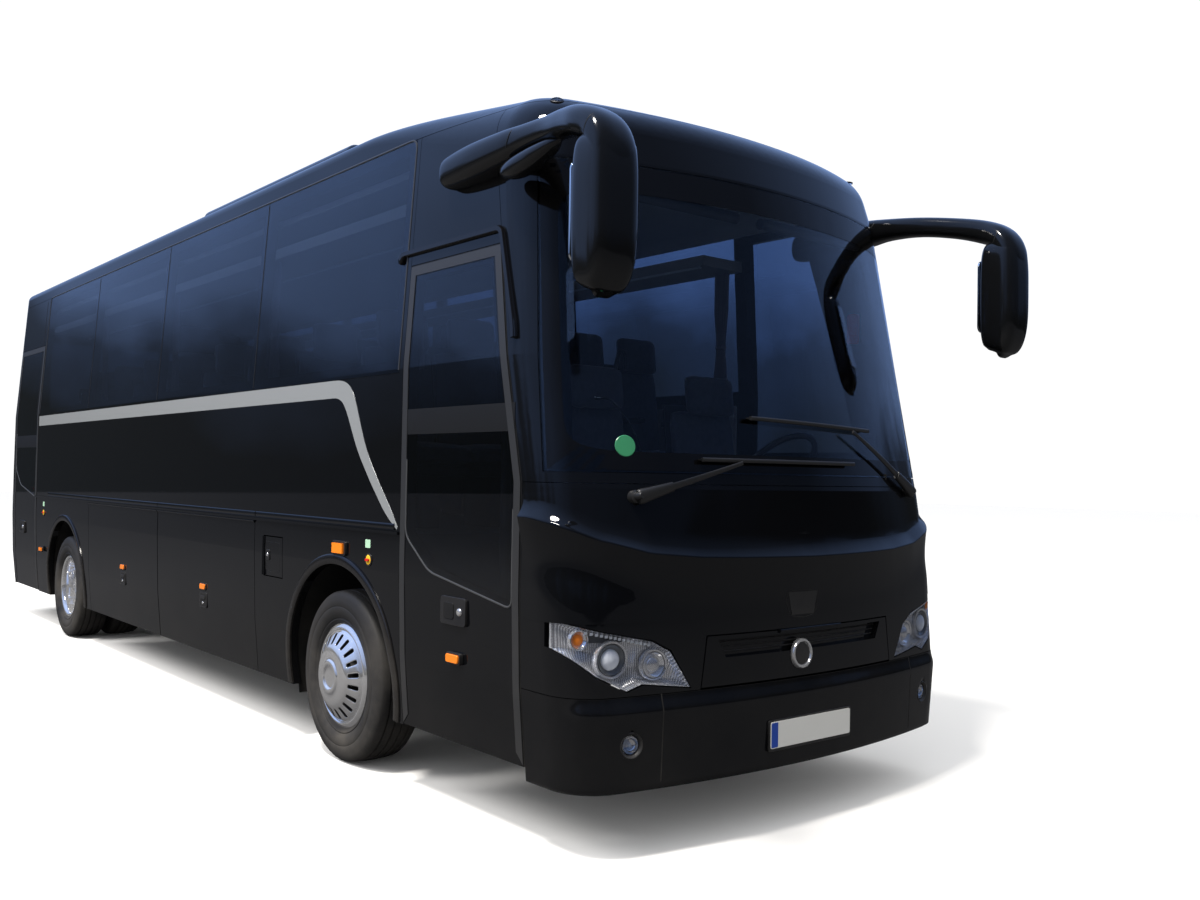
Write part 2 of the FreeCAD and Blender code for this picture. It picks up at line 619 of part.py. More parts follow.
def service_hatch():
    """The small hatch behind the front arch, hinged along its rear edge."""
    bead = rod("service_hatch_bead", V(0, 0, 1), "hinge_radius", "hatch_tall - 2 * door_gap",
               "hatch_front_x - hatch_length + hinge_radius + seat_gap",
               "-(half_width + hinge_radius)", "hatch_low_z + door_gap")
    tongue = box("service_hatch_tongue", ("hatch_front_x - hatch_length + hinge_radius + seat_gap",
                                          "hatch_front_x - hatch_length + 4 * hinge_radius"),
                 across(-1, "half_width - hinge_radius", "half_width + hinge_radius"),
                 ("hatch_low_z + door_gap", "hatch_low_z + hatch_tall - door_gap"))
    panel = common("service_hatch_panel", flap_shell, hatch_region("service_hatch_region", "door_gap"))
    fuse("service_hatch", panel, bead, tongue)


# Half outlines of the headlamp across the body and up, from its inner tip round.
LAMP_OUTLINE = (
    # y, z
    (667, 640), (891, 668), (960, 645), (1084, 710), (1167, 786), (1230, 850), (1230, 925), (1057, 876),
    (844, 832), (762, 789),
)


def lamp_prism(name, side, grow):
    """One headlamp's outline run along the body through the front corner."""
    middle_y = sum(y for y, _ in LAMP_OUTLINE) / len(LAMP_OUTLINE)
    middle_z = sum(z for _, z in LAMP_OUTLINE) / len(LAMP_OUTLINE)
    points = [(f"{side} * ({y} + {grow} * {1 if y > middle_y else -1})",
               f"{z} + {grow} * {1 if z > middle_z else -1}") for y, z in LAMP_OUTLINE]
    return pad(name, "YZ_Plane", points, f"lamp_rear_x - ({grow})", f"{NOSE} + 100")


def lid_prism(name, gap):
    """The front lid between the headlamps, run along the body."""
    low, high = f"lamp_z + seam + {gap}", f"lid_top_z - {gap}"
    points = ((f"-lid_low_half + {gap}", low), (f"lid_low_half - {gap}", low),
              (f"lid_top_half - {gap}", high), (f"-lid_top_half + {gap}", high))
    return pad(name, "YZ_Plane", points, f"{NOSE} - 400", f"{NOSE} + 100")


def screen_prism(name, gap):
    """The windscreen's side view, drawn in by gap."""
    low, high = f"screen_low_z + {gap}", f"screen_high_z - {gap}"
    points = ((f"screen_low_x + {gap}", low), (f"{NOSE} + 100", low),
              (f"{NOSE} + 100", high), (f"screen_high_x + {gap}", high))
    return pad(name, "XZ_Plane", points, f"-{OUTSIDE}", OUTSIDE)


def front_mask():
    """The moulded front: header and corner pillars above a seam, dash panel and lamp surrounds below it."""
    points = ((MASK_REAR_LOW, "lamp_z + seam"), (f"{NOSE} + 100", "lamp_z + seam"),
              (f"{NOSE} + 100", "window_high_z"), (MASK_REAR_HIGH, "window_high_z"),
              (MASK_REAR_LOW, "door_knee_z"))
    region = pad("front_mask_region", "XZ_Plane", points, f"-{OUTSIDE}", OUTSIDE)
    panel = common("front_mask_panel", shell, region)
    glass_bed = common("front_mask_recess", recess, screen_prism("screen_bed", "0"))
    joint = box("front_mask_seam", (f"{NOSE} - mirror_reach", f"{NOSE} + 100"), (f"-{OUTSIDE}", OUTSIDE),
                ("door_knee_z - seam / 2", "door_knee_z + seam / 2"))
    openings = [screen_prism("screen_opening", "pillar"), lid_prism("lid_opening", "0")]
    openings += [lamp_prism("lamp_opening_" + label, side, "seam") for label, side in SIDES]
    cut("front_mask", panel, glass_bed, joint, *openings)


def windscreen():
    """The bonded windscreen, bowed round the front corners."""
    common("windscreen", glass_shell, screen_prism("screen_region", "seam"))


def front_lid():
    """The lid between the headlamps: a grille slot across it and a hinge bead along its top."""
    panel = common("front_lid_panel", flap_shell, lid_prism("front_lid_region", "door_gap"))
    outline = (("-slot_low_half", "slot_low_z"), ("slot_low_half", "slot_low_z"),
               ("slot_high_half", "slot_high_z"), ("-slot_high_half", "slot_high_z"))
    slot_region = pad("front_lid_slot_region", "YZ_Plane", outline, f"{NOSE} - 200", f"{NOSE} + 100")
    slot_shell = cut("slot_shell", hull, hull_form("hull_behind_slot", at.slot_depth))
    slot = common("front_lid_slot", slot_shell, slot_region)
    hinge_half = "(lid_top_half / 3)"
    bead = rod("front_lid_bead", V(0, 1, 0), "hinge_radius", f"2 * {hinge_half}", f"{NOSE} + hinge_radius",
               f"-{hinge_half}", "lid_top_z - seat_gap - hinge_radius")
    tongue = box("front_lid_tongue", (f"{NOSE} - 6 * hinge_radius", f"{NOSE} + hinge_radius"),
                 (f"-{hinge_half}", hinge_half), ("lid_top_z - seat_gap - 2 * hinge_radius - door_gap",
                                                  "lid_top_z - door_gap"))
    fuse("front_lid", cut("front_lid_slotted", panel, slot), bead, tongue)


def bumpers():
    """Front and rear bumpers; the front one has holes for the fog lamps."""
    front = common("bumper_front_panel", shell,
                   box("bumper_front_region", (MASK_REAR_LOW, f"{NOSE} + 100"), (f"-{OUTSIDE}", OUTSIDE),
                       ("bumper_low_z", "lamp_z")))
    holes = [rod(f"fog_hole_{label}", V(1, 0, 0), "fog_radius + seat_gap", "500", f"{NOSE} - 400",
                 f"{side} * fog_y", "fog_z") for label, side in SIDES]
    lamps = [lamp_prism(f"lamp_notch_{label}", side, "seam") for label, side in SIDES]
    rear = common("bumper_rear_panel", shell,
                  box("bumper_rear_region", (f"{TAIL} - 100", REAR_EDGE), (f"-{OUTSIDE}", OUTSIDE),
                      ("sill_z", "lamp_z")))
    fuse("bumpers", cut("bumper_front", front, *holes, *lamps), rear)


def front_lamps():
    """Headlamps let into the corners and round fog lamps in the bumper."""
    pieces = []
    for label, side in SIDES:
        pieces.append(common("headlamp_" + label, shell, lamp_prism("headlamp_region_" + label, side, "0")))
        barrel = rod("fog_region_" + label, V(1, 0, 0), "fog_radius", "500", f"{NOSE} - 400",
                     f"{side} * fog_y", "fog_z")
        pieces.append(common("fog_lamp_" + label, lamp_shell, barrel))
    fuse("front_lamps", *pieces)


def rear_window_box(name, gap):
    """The rear window drawn in by gap."""
    return box(name, (f"{TAIL} - 100", f"{TAIL} + 400"),
               (f"-rear_window_half + {gap}", f"rear_window_half - {gap}"),
               (f"rear_window_low_z + {gap}", f"rear_window_high_z - {gap}"))


def engine_lid_box(name, gap):
    """The engine lid drawn in by gap."""
    return box(name, (f"{TAIL} - 100", f"{TAIL} + 400"),
               (f"-engine_lid_half + {gap}", f"engine_lid_half - {gap}"),
               (f"engine_lid_low_z + {gap}", f"engine_lid_high_z - {gap}"))


def tail_lamp_box(name, side, gap):
    """An upright tail lamp in a rear corner."""
    return box(name, (f"{TAIL} - 100", f"{TAIL} + 170 + {gap}"),
               across(side, f"engine_lid_half + 50 - {gap}", OUTSIDE),
               (f"engine_lid_low_z + 100 - {gap}", f"engine_lid_low_z + 560 + {gap}"))


def rear_body():
    """The moulded rear with openings for the window, the engine lid and the tail lamps."""
    region = box("rear_body_region", (f"{TAIL} - 100", f"{REAR_EDGE} - seam"), (f"-{OUTSIDE}", OUTSIDE),
                 ("lamp_z + seam", "window_high_z"))
    panel = common("rear_body_panel", shell, region)
    bed = common("rear_body_recess", recess, rear_window_box("rear_window_bed", "0"))
    cut("rear_body", panel, bed, rear_window_box("rear_window_opening", "pillar"),
        engine_lid_box("engine_lid_opening", "0"), tail_lamp_box("tail_lamp_hole_left", 1, "seat_gap"),
        tail_lamp_box("tail_lamp_hole_right", -1, "seat_gap"))


def rear_glass():
    """The bonded rear window."""
    common("rear_glass", glass_shell, rear_window_box("rear_window_region", "seam"))


def engine_lid():
    """The engine lid with a hinge bead along its top."""
    panel = common("engine_lid_panel", flap_shell, engine_lid_box("engine_lid_region", "door_gap"))
    hinge_half = "(engine_lid_half / 3)"
    bead = rod("engine_lid_bead", V(0, 1, 0), "hinge_radius", f"2 * {hinge_half}", f"{TAIL} + hinge_radius",
               f"-{hinge_half}", "engine_lid_high_z - seat_gap - hinge_radius")
    tongue = box("engine_lid_tongue", (f"{TAIL} + hinge_radius", f"{TAIL} + 6 * hinge_radius"),
                 (f"-{hinge_half}", hinge_half),
                 ("engine_lid_high_z - seat_gap - 2 * hinge_radius - door_gap",
                  "engine_lid_high_z - door_gap"))
    fuse("engine_lid", panel, bead, tongue)


def rear_and_side_lamps():
    """Tail lamps, and the amber lamps over the front arches and behind the rear ones."""
    pieces = []
    for label, side in SIDES:
        region = tail_lamp_box("tail_lamp_region_" + label, side, "0")
        pieces.append(common("tail_lamp_" + label, shell, region))
        for name, x, z, long, tall in (("turn_lamp", "front_axle_x + 50", 1084, 110, 50),
                                       ("marker_lamp", f"{REAR_AXLE} - 720", 710, 80, 30)):
            pieces.append(box(f"{name}_{label}", (f"{x} - {long} / 2", f"{x} + {long} / 2"),
                              across(side, "half_width + seat_gap", "half_width + 22"),
                              (f"{z} - {tall} / 2", f"{z} + {tall} / 2")))
    fuse("rear_and_side_lamps", *pieces)


def roof():
    """The roof skin with its side coves and front dome."""
    region = box("roof_region", (f"{TAIL} - 100", f"{NOSE} + 100"), (f"-{OUTSIDE}", OUTSIDE),
                 ("window_high_z + seam", "roof_height + 100"))
    common("roof", shell, region)


def roof_unit():
    """The roof air conditioner, seated on the crown."""
    block = box("roof_unit_block", ("unit_front_x - unit_length", "unit_front_x"), ("-unit_half", "unit_half"),
                ("roof_height - 150", "unit_top_z"))
    rounded = doc.addObject("Part::Fillet", "roof_unit_rounded")
    rounded.Base = block
    doc.recompute()
    upper = [number for number, edge in enumerate(block.Shape.Edges, 1)
             if edge.BoundBox.ZMin > at.roof_height or edge.BoundBox.ZLength > 1]
    rounded.Edges = [(number, at.unit_round, at.unit_round) for number in upper]
    cut("roof_unit", rounded, hull_over)


# ------------------------------------------------------------ floor and frame

def floor():
    """Cabin floor above the luggage bay, the riser and the driver's platform at the front."""
    main = box("floor_main", (TAIL, "door_rear_x"), (f"-{OUTSIDE}", OUTSIDE), (FLOOR_LOW, "waist_z"))
    riser = box("floor_riser", ("door_rear_x - floor_wall", "door_rear_x"), (f"-{OUTSIDE}", OUTSIDE),
                ("driver_floor_z - floor_wall", "waist_z"))
    platform = box("floor_platform", ("door_rear_x - floor_wall", NOSE), (f"-{OUTSIDE}", OUTSIDE),
                   ("driver_floor_z - floor_wall", "driver_floor_z"))
    stair = box("floor_stair", ("door_rear_x", DOOR_FRONT), (f"-{OUTSIDE}", "-stair_inner_y"),
                ("sill_z", "waist_z + 10"))
    rear_stair = box("floor_rear_stair", (REAR_DOOR_REAR, REAR_DOOR_FRONT),
                     (f"-{OUTSIDE}", "-(stair_inner_y + 70)"), ("sill_z", "waist_z + 10"))
    deck = common("floor_deck", hull_lining, fuse("floor_parts", main, riser, platform))
    cut("floor", deck, stair, rear_stair)


def stair_outline(inner):
    """Steps in side view: risers and goings of one wall thickness, up to the floor at the inner end."""
    low = "(sill_z + 2 * step_wall)"
    first = f"-({inner} + 2 * step_going)"
    second = f"-({inner} + step_going)"
    last = f"-({inner} + seat_gap)"
    return [("-bay_half", low), (first, low), (first, f"{low} + step_rise"), (second, f"{low} + step_rise"),
            (second, f"{low} + 2 * step_rise"), (last, f"{low} + 2 * step_rise"),
            (last, f"{low} + 2 * step_rise - step_wall"),
            (f"{second} + step_wall", f"{low} + 2 * step_rise - step_wall"),
            (f"{second} + step_wall", f"{low} + step_rise - step_wall"),
            (f"{first} + step_wall", f"{low} + step_rise - step_wall"),
            (f"{first} + step_wall", f"{low} - step_wall"), ("-bay_half", f"{low} - step_wall")]


def entry_steps():
    """Folded steps inside both doors."""
    front = pad("steps_front", "YZ_Plane", stair_outline("stair_inner_y"), "door_rear_x + seat_gap",
                f"{DOOR_FRONT} - seat_gap")
    rear = pad("steps_rear", "YZ_Plane", stair_outline("(stair_inner_y + 70)"),
               f"{REAR_DOOR_REAR} + seat_gap", f"{REAR_DOOR_FRONT} - seat_gap")
    fuse("entry_steps", front, rear)


def luggage_bay():
    """The through luggage bay between the axles: floor and end bulkheads."""
    y = ("-bay_half", "bay_half")
    tray = box("bay_floor", (BAY_REAR, BAY_FRONT), y, ("sill_z + bay_wall", "sill_z + 2 * bay_wall"))
    ahead = box("bay_front_wall", (f"{BAY_FRONT} - bay_wall", BAY_FRONT), y, ("sill_z + bay_wall", FLOOR_LOW))
    behind = box("bay_rear_wall", (BAY_REAR, f"{BAY_REAR} + bay_wall"), y, ("sill_z + bay_wall", FLOOR_LOW))
    fuse("luggage_bay", tray, ahead, behind)


def wheel_housings():
    """Half-round sheet housings over the wheels, with a mudflap behind each."""
    pieces = []
    for axle, x in (("front", "front_axle_x"), ("rear", REAR_AXLE)):
        for label, side in SIDES:
            name = f"housing_{axle}_{label}"
            low_y, high_y = across(side, "housing_inner_y", "half_width - wall - seat_gap")
            inner = "(arch_radius + housing_gap)"
            outside = rod(name + "_outer", V(0, 1, 0), f"{inner} + housing_wall", f"({high_y}) - ({low_y})",
                          x, low_y, "tyre_radius")
            inside = rod(name + "_inner", V(0, 1, 0), inner, f"({high_y}) - ({low_y})", x, low_y, "tyre_radius")
            lower = box(name + "_lower", (f"{x} - 2 * arch_radius", f"{x} + 2 * arch_radius"), (low_y, high_y),
                        ("-arch_radius", "tyre_radius + 40"))
            curve = cut(name + "_curve", outside, inside, lower)
            flap = box(name + "_mudflap", (f"{x} - {inner} - housing_wall", f"{x} - {inner}"),
                       across(side, "wheel_y - tyre_width", "half_width - wall - 4 * housing_wall"),
                       ("sill_z - 60", "tyre_radius + 60"))
            pieces.append(fuse(name, curve, flap))
    common("wheel_housings", hull_lining, fuse("housing_blanks", *pieces))


RAIL_Y = ("rail_y - rail_width / 2", "rail_y + rail_width / 2")
BETWEEN_RAILS = ("-(rail_y - rail_width / 2)", "rail_y - rail_width / 2")
FRAME_FRONT = f"({NOSE} - frame_front_gap)"
FRAME_REAR = f"({TAIL} + frame_rear_gap)"


def frame_rails():
    """Four frame rails, two ahead of the luggage bay and two behind it."""
    rails = [box(f"rail_{part}_{label}", x, across(side, *RAIL_Y), ("rail_low_z", RAIL_HIGH))
             for label, side in SIDES
             for part, x in (("front", (BAY_FRONT, FRAME_FRONT)), ("rear", (FRAME_REAR, BAY_REAR)))]
    fuse("frame_rails", *rails)


def tow_eye(part, low_x, ahead):
    """A cross bar with a plate hanging from it and a level lug bored for a tow pin."""
    bar = box(f"tow_bar_{part}", (low_x, f"{low_x} + post_width"), BETWEEN_RAILS, ("rail_low_z", RAIL_HIGH))
    plate = box(f"tow_plate_{part}", (low_x, f"{low_x} + post_width"), ("-tow_half", "tow_half"),
                ("tow_z - tow_half / 2", "rail_low_z"))
    lug_x = f"{low_x} + post_width" if ahead else f"{low_x} - 2 * tow_half"
    lug = box(f"tow_lug_{part}", (lug_x, f"{lug_x} + 2 * tow_half"), ("-tow_half", "tow_half"),
              ("tow_z - tow_half / 2", "tow_z + tow_half / 2"))
    bore = rod(f"tow_bore_{part}", V(0, 0, 1), "tow_bore", "2 * tow_half", f"{lug_x} + tow_half", "0",
               "tow_z - tow_half")
    return cut(f"tow_eye_{part}", fuse(f"tow_blank_{part}", bar, plate, lug), bore)


def frame_bars():
    """Cross bars and engine cradle between the rails, posts from the rails to the floor, towing eyes."""
    pieces = [tow_eye("front", f"({FRAME_FRONT} - post_width)", True), tow_eye("rear", FRAME_REAR, False)]
    ahead, behind = f"({BAY_FRONT} + post_setback)", f"({BAY_REAR} - post_setback - post_width)"
    for number, x in enumerate((ahead, behind)):
        pieces.append(box(f"crossbar{number}", (x, f"{x} + post_width"), BETWEEN_RAILS,
                          ("rail_low_z", RAIL_HIGH)))
    for number, share in enumerate(("engine_length / 5", "engine_length * 4 / 5")):
        x = f"{TAIL} + engine_gap + {share}"
        pieces.append(box(f"cradle{number}", (x, f"{x} + post_width"), BETWEEN_RAILS,
                          ("rail_low_z", "engine_low_z")))
    posts = ((ahead, FLOOR_LOW), (behind, FLOOR_LOW), ("(door_rear_x - 2 * post_width)", FLOOR_LOW),
             (f"({REAR_DOOR_FRONT} + post_width)", FLOOR_LOW),
             (f"({FRAME_FRONT} - post_width)", "driver_floor_z - floor_wall"))
    for label, side in SIDES:
        for number, (x, top) in enumerate(posts):
            pieces.append(box(f"post_{label}{number}", (x, f"{x} + post_width"), across(side, *RAIL_Y),
                              (RAIL_HIGH, top)))
    fuse("frame_bars", *pieces)


def engine():
    """Engine and gearbox as one block on its cradle."""
    box("engine", (f"{TAIL} + engine_gap", f"{TAIL} + engine_gap + engine_length"),
        ("-engine_half", "engine_half"),
        ("engine_low_z", "engine_high_z"))


def axles():
    """Front axle beam with kingpin eyes, rear axle casing with its final drive, hubs and drums."""
    beam = box("front_beam", ("front_axle_x - beam_width / 2", "front_axle_x + beam_width / 2"),
               ("-kingpin_y", "kingpin_y"), ("beam_low_z", "beam_low_z + beam_height"))
    eyes = [rod("kingpin_eye_" + label, V(0, 0, 1), "eye_radius", "beam_height + 20", "front_axle_x",
                f"{side} * kingpin_y", "beam_low_z - 10") for label, side in SIDES]
    bores = [rod("kingpin_bore_" + label, V(0, 0, 1), "kingpin_radius + seat_gap", "beam_height + 60",
                 "front_axle_x", f"{side} * kingpin_y", "beam_low_z - 30") for label, side in SIDES]
    ends = [box("beam_end_" + label, ("front_axle_x - beam_width", "front_axle_x + beam_width"),
                across(side, "kingpin_y", "kingpin_y + beam_width"),
                 ("beam_low_z - 30", "beam_low_z + 2 * beam_height"))
            for label, side in SIDES]
    trimmed = cut("front_beam_trimmed", beam, *ends)
    cut("front_axle", fuse("front_axle_blank", trimmed, *eyes), *bores)
    inner_tyre = "(wheel_y - twin_pitch)"
    casing = rod("rear_casing", V(0, 1, 0), "casing_radius", f"2 * {inner_tyre}", REAR_AXLE, f"-{inner_tyre}",
                 "tyre_radius")
    drive = rod("final_drive", V(0, 1, 0), "diff_radius", "diff_radius", REAR_AXLE, "-diff_radius / 2",
                "tyre_radius")
    pieces = [casing, drive]
    for label, side in SIDES:
        low, high = across(side, f"{inner_tyre} - 75", f"{inner_tyre} + 140")
        pieces.append(rod("rear_drum_" + label, V(0, 1, 0), "drum_radius", f"({high}) - ({low})", REAR_AXLE, low,
                          "tyre_radius"))
        low, high = across(side, inner_tyre, "wheel_y + 25")
        pieces.append(rod("rear_hub_" + label, V(0, 1, 0), "rear_hub_radius", f"({high}) - ({low})", REAR_AXLE,
                          low, "tyre_radius"))
    fuse("rear_axle", *pieces)


def air_springs():
    """Air springs between the axles and the frame rails."""
    pieces = []
    for label, side in SIDES:
        for axle, x, low in (("front", "front_axle_x", "beam_low_z + beam_height"),
                             ("rear", REAR_AXLE, "tyre_radius + casing_radius - 12")):
            bellows = rod(f"bellows_{axle}_{label}", V(0, 0, 1), "bellows_radius",
                          f"rail_low_z - seat_gap - ({low})", x, f"{side} * rail_y", low)
            pieces.append(bellows)
    casing_clear = rod("casing_clear", V(0, 1, 0), "casing_radius + seat_gap", f"2 * {OUTSIDE}", REAR_AXLE,
                       f"-{OUTSIDE}", "tyre_radius")
    cut("air_springs", fuse("bellows", *pieces), casing_clear)


def knuckles():
    """Steering knuckles: kingpin, fork round the axle's eye, brake drum and hub."""
    for label, side in SIDES:
        name = "knuckle_" + label
        pin_y = f"{side} * kingpin_y"
        pin = rod(name + "_pin", V(0, 0, 1), "kingpin_radius", "beam_height + 70", "front_axle_x", pin_y,
                  "beam_low_z - 35")
        x = ("front_axle_x - eye_radius", "front_axle_x + eye_radius")
        arms = across(side, "kingpin_y - eye_radius", "kingpin_y + eye_radius + 40")
        upper = box(name + "_upper", x, arms, ("beam_low_z + beam_height + 10 + seat_gap",
                                               "beam_low_z + beam_height + 35"))
        lower = box(name + "_lower", x, arms, ("beam_low_z - 35", "beam_low_z - 10 - seat_gap"))
        web = box(name + "_web", x, across(side, "kingpin_y + eye_radius + 15", "kingpin_y + eye_radius + 40"),
                  ("beam_low_z - 35", "tyre_radius + hub_radius"))
        low, high = across(side, "kingpin_y + eye_radius + 15", "wheel_y + 10")
        drum = rod(name + "_drum", V(0, 1, 0), "drum_radius", f"({high}) - ({low})", "front_axle_x", low,
                   "tyre_radius")
        low, high = across(side, "kingpin_y + eye_radius + 15", "wheel_y + 97")
        hub = rod(name + "_hub", V(0, 1, 0), "hub_radius", f"({high}) - ({low})", "front_axle_x", low,
                  "tyre_radius")
        fuse(name, pin, upper, lower, web, drum, hub)


def wheels():
    """Tyres and rims: single in front, twins behind."""
    bore = "bead_radius / cos(180 deg / tyre_sides)"
    tyre = (("tyre_radius", "-0.4 * tyre_width"), ("tyre_radius", "0.4 * tyre_width"),
            ("tyre_radius - 28", "0.48 * tyre_width"), ("tyre_radius - 90", "0.5 * tyre_width"),
            ("flange_radius + 3", "rim_half - 8"), (bore, "rim_half - 8"),
            (bore, "-rim_half + 8"), ("flange_radius + 3", "-rim_half + 8"),
            ("tyre_radius - 90", "-0.5 * tyre_width"), ("tyre_radius - 28", "-0.48 * tyre_width"))
    seat = "bead_radius - seat_gap"
    edge = "rim_half - 7"
    front_rim = (("0", "112"), ("95", "112"), ("100", "124"), ("128", "124"), ("134", "114"), ("150", "118"),
                 ("bead_radius - 20", "rim_half - 12"), ("bead_radius - 14", "rim_half"),
                 ("flange_radius", "rim_half"), ("flange_radius", edge), (seat, edge), (seat, f"-({edge})"),
                 ("flange_radius", f"-({edge})"), ("flange_radius", "-rim_half"),
                 ("bead_radius - 12", "-rim_half"),
                 ("bead_radius - 12", "rim_half - 38"), ("140", "98"), ("hub_radius + 40", "98"),
                 ("hub_radius + 40", "20"), ("hub_radius + seat_gap", "20"), ("hub_radius + seat_gap", "98"),
                 ("0", "98"))
    rear_rim = (("0", "45"), ("95", "45"), ("105", "32"), ("105", "-30"), ("205", "-62"),
                ("bead_radius - 12", "-40"), ("bead_radius - 12", "rim_half"), ("flange_radius", "rim_half"),
                ("flange_radius", edge), (seat, edge), (seat, f"-({edge})"), ("flange_radius", f"-({edge})"),
                ("flange_radius", "-rim_half"), (seat, "-rim_half"),
                (seat, "-twin_pitch + rim_half"), ("flange_radius", "-twin_pitch + rim_half"),
                ("flange_radius", f"-twin_pitch + {edge}"), (seat, f"-twin_pitch + {edge}"),
                (seat, f"-twin_pitch - ({edge})"), ("flange_radius", f"-twin_pitch - ({edge})"),
                ("flange_radius", "-twin_pitch - rim_half"), ("bead_radius - 12", "-twin_pitch - rim_half"),
                ("bead_radius - 12", "-120"), ("150", "-100"), ("rear_hub_radius + seat_gap", "-100"),
                ("rear_hub_radius + seat_gap", "26"), ("0", "26"))
    for label, side in SIDES:
        y = f"{side} * wheel_y"
        rolled(f"tyre_front_{label}", tyre, "front_axle_x", y, "tyre_radius")
        turned(f"rim_front_{label}", front_rim, "front_axle_x", y, "tyre_radius", side)
        turned(f"rim_rear_{label}", rear_rim, REAR_AXLE, y, "tyre_radius", side)
        twins = [rolled(f"tyre_rear_{label}_{part}", tyre, REAR_AXLE,
                        f"{side} * (wheel_y - {step} * twin_pitch)", "tyre_radius")
                 for part, step in (("outer", 0), ("inner", 1))]
        fuse(f"tyres_rear_{label}", *twins)


# ----------------------------------------------------------------- plug doors

def drawn_in(name, points, gap):
    """A door glass's outline drawn in by gap on every side, run through the right wall."""
    inset = [(f"({x}) {x_sign} {gap}", f"({z}) {z_sign} {gap}")
             for (x, z), x_sign, z_sign in zip(points, "++---+", "++++--")]
    return pad(name, "XZ_Plane", inset, f"-{OUTSIDE}", "-half_width / 2")


def plug_doors():
    """Leaf, glass and swing arm of each door; the arm turns on a post and keeps the leaf parallel."""
    for door in DOORS:
        name, rear, front, high, lean, glass_low = door
        post_x = f"({front} - door_post_back)"
        pin_x = f"({post_x} - arm_reach * cos(arm_angle))"
        pin_y = "(-post_y + arm_reach * sin(arm_angle))"
        frame = "(door_gap + door_frame)"
        glass_points = ((f"{rear} + {frame}", f"{glass_low} + 252"),
                        (f"{rear} + {frame} + 210", f"{glass_low} + 103"),
                        (f"{front} - {frame}", glass_low), (f"{front} - {frame}", "door_knee_z"),
                        (f"{front} - ({lean}) - {frame}", f"{high} - {frame}"),
                        (f"{rear} + {frame}", f"{high} - {frame}"))
        window = pad(name + "_glass_region", "XZ_Plane", glass_points, f"-{OUTSIDE}", "-half_width / 2")
        hole = drawn_in(name + "_glass_opening", glass_points, "door_glass_lap")
        bed = common(name + "_glass_bed", recess, window)
        region = door_prism(name + "_leaf_region", door, "door_gap", "half_width / 2")
        blank = common(name + "_blank", shell, region)
        leaf = cut(name + "_framed", blank, bed, hole)
        common(name + "_glass", glass_shell, drawn_in(name + "_pane", glass_points, "seat_gap"))
        bar = box(name + "_bar_block", (rear, front), ("-half_width + 10", "-half_width + wall"),
                  ("arm_high_z - door_bar / 2", "arm_high_z + door_bar / 2"))
        region = door_prism(name + "_bar_region", door, "door_gap", "half_width / 2")
        brackets = [common(name + "_bar", bar, region)]
        post_foot = "(sill_z + 2 * step_wall + seat_gap)"
        arms = [rod(name + "_post", V(0, 0, 1), "post_radius", f"arm_high_z + 60 - {post_foot}",
                    post_x, "-post_y", post_foot)]
        for level in ("low", "high"):
            z = f"arm_{level}_z"
            arm = rod(f"{name}_arm_{level}", V(-1, 0, 0), "arm_radius", "arm_reach", post_x, "-post_y", z)
            arm.Placement = FreeCAD.Placement(arm.Placement.Base, FreeCAD.Rotation(
                V(0, 0, 1), V(-math.cos(math.radians(at.arm_angle)), math.sin(math.radians(at.arm_angle)), 0)))
            for prop, place in zip("xyz", (post_x, "-post_y", z)):
                bind(arm, "Placement.Base." + prop, place)
            eye = rod(f"{name}_eye_{level}", V(0, 0, 1), "1.8 * arm_radius", "2.6 * arm_radius", pin_x, pin_y,
                      f"{z} - 1.3 * arm_radius")
            pin = rod(f"{name}_pin_{level}", V(0, 0, 1), "pin_radius", "5 * arm_radius", pin_x, pin_y,
                      f"{z} - arm_radius")
            arms += [arm, eye, pin]
            plate = box(f"{name}_plate_{level}", (f"{pin_x} - 2 * arm_radius", f"{pin_x} + 2 * arm_radius"),
                        ("-half_width + wall / 2", f"{pin_y} + 2 * arm_radius"),
                        (f"{z} + 1.3 * arm_radius + door_gap", f"{z} + 3.3 * arm_radius"))
            bore = rod(f"{name}_bore_{level}", V(0, 0, 1), "pin_radius + seat_gap", "8 * arm_radius", pin_x, pin_y,
                       f"{z} - arm_radius")
            plate = common(f"{name}_plate_{level}_in", plate, hull_before_frame)
            brackets.append(cut(f"{name}_bracket_{level}", plate, bore))
        fuse(name + "_arm", *arms)
        fuse(name + "_leaf", leaf, *brackets)


# ------------------------------------------------------------ outside fittings

def rounded_block(name, block, corners, radius):
    """A padded outline of so many corners with every edge rounded."""
    rounded = doc.addObject("Part::Fillet", name)
    rounded.Base = block
    rounded.Edges = [(number, radius, radius) for number in range(1, 3 * corners + 1)]
    return rounded


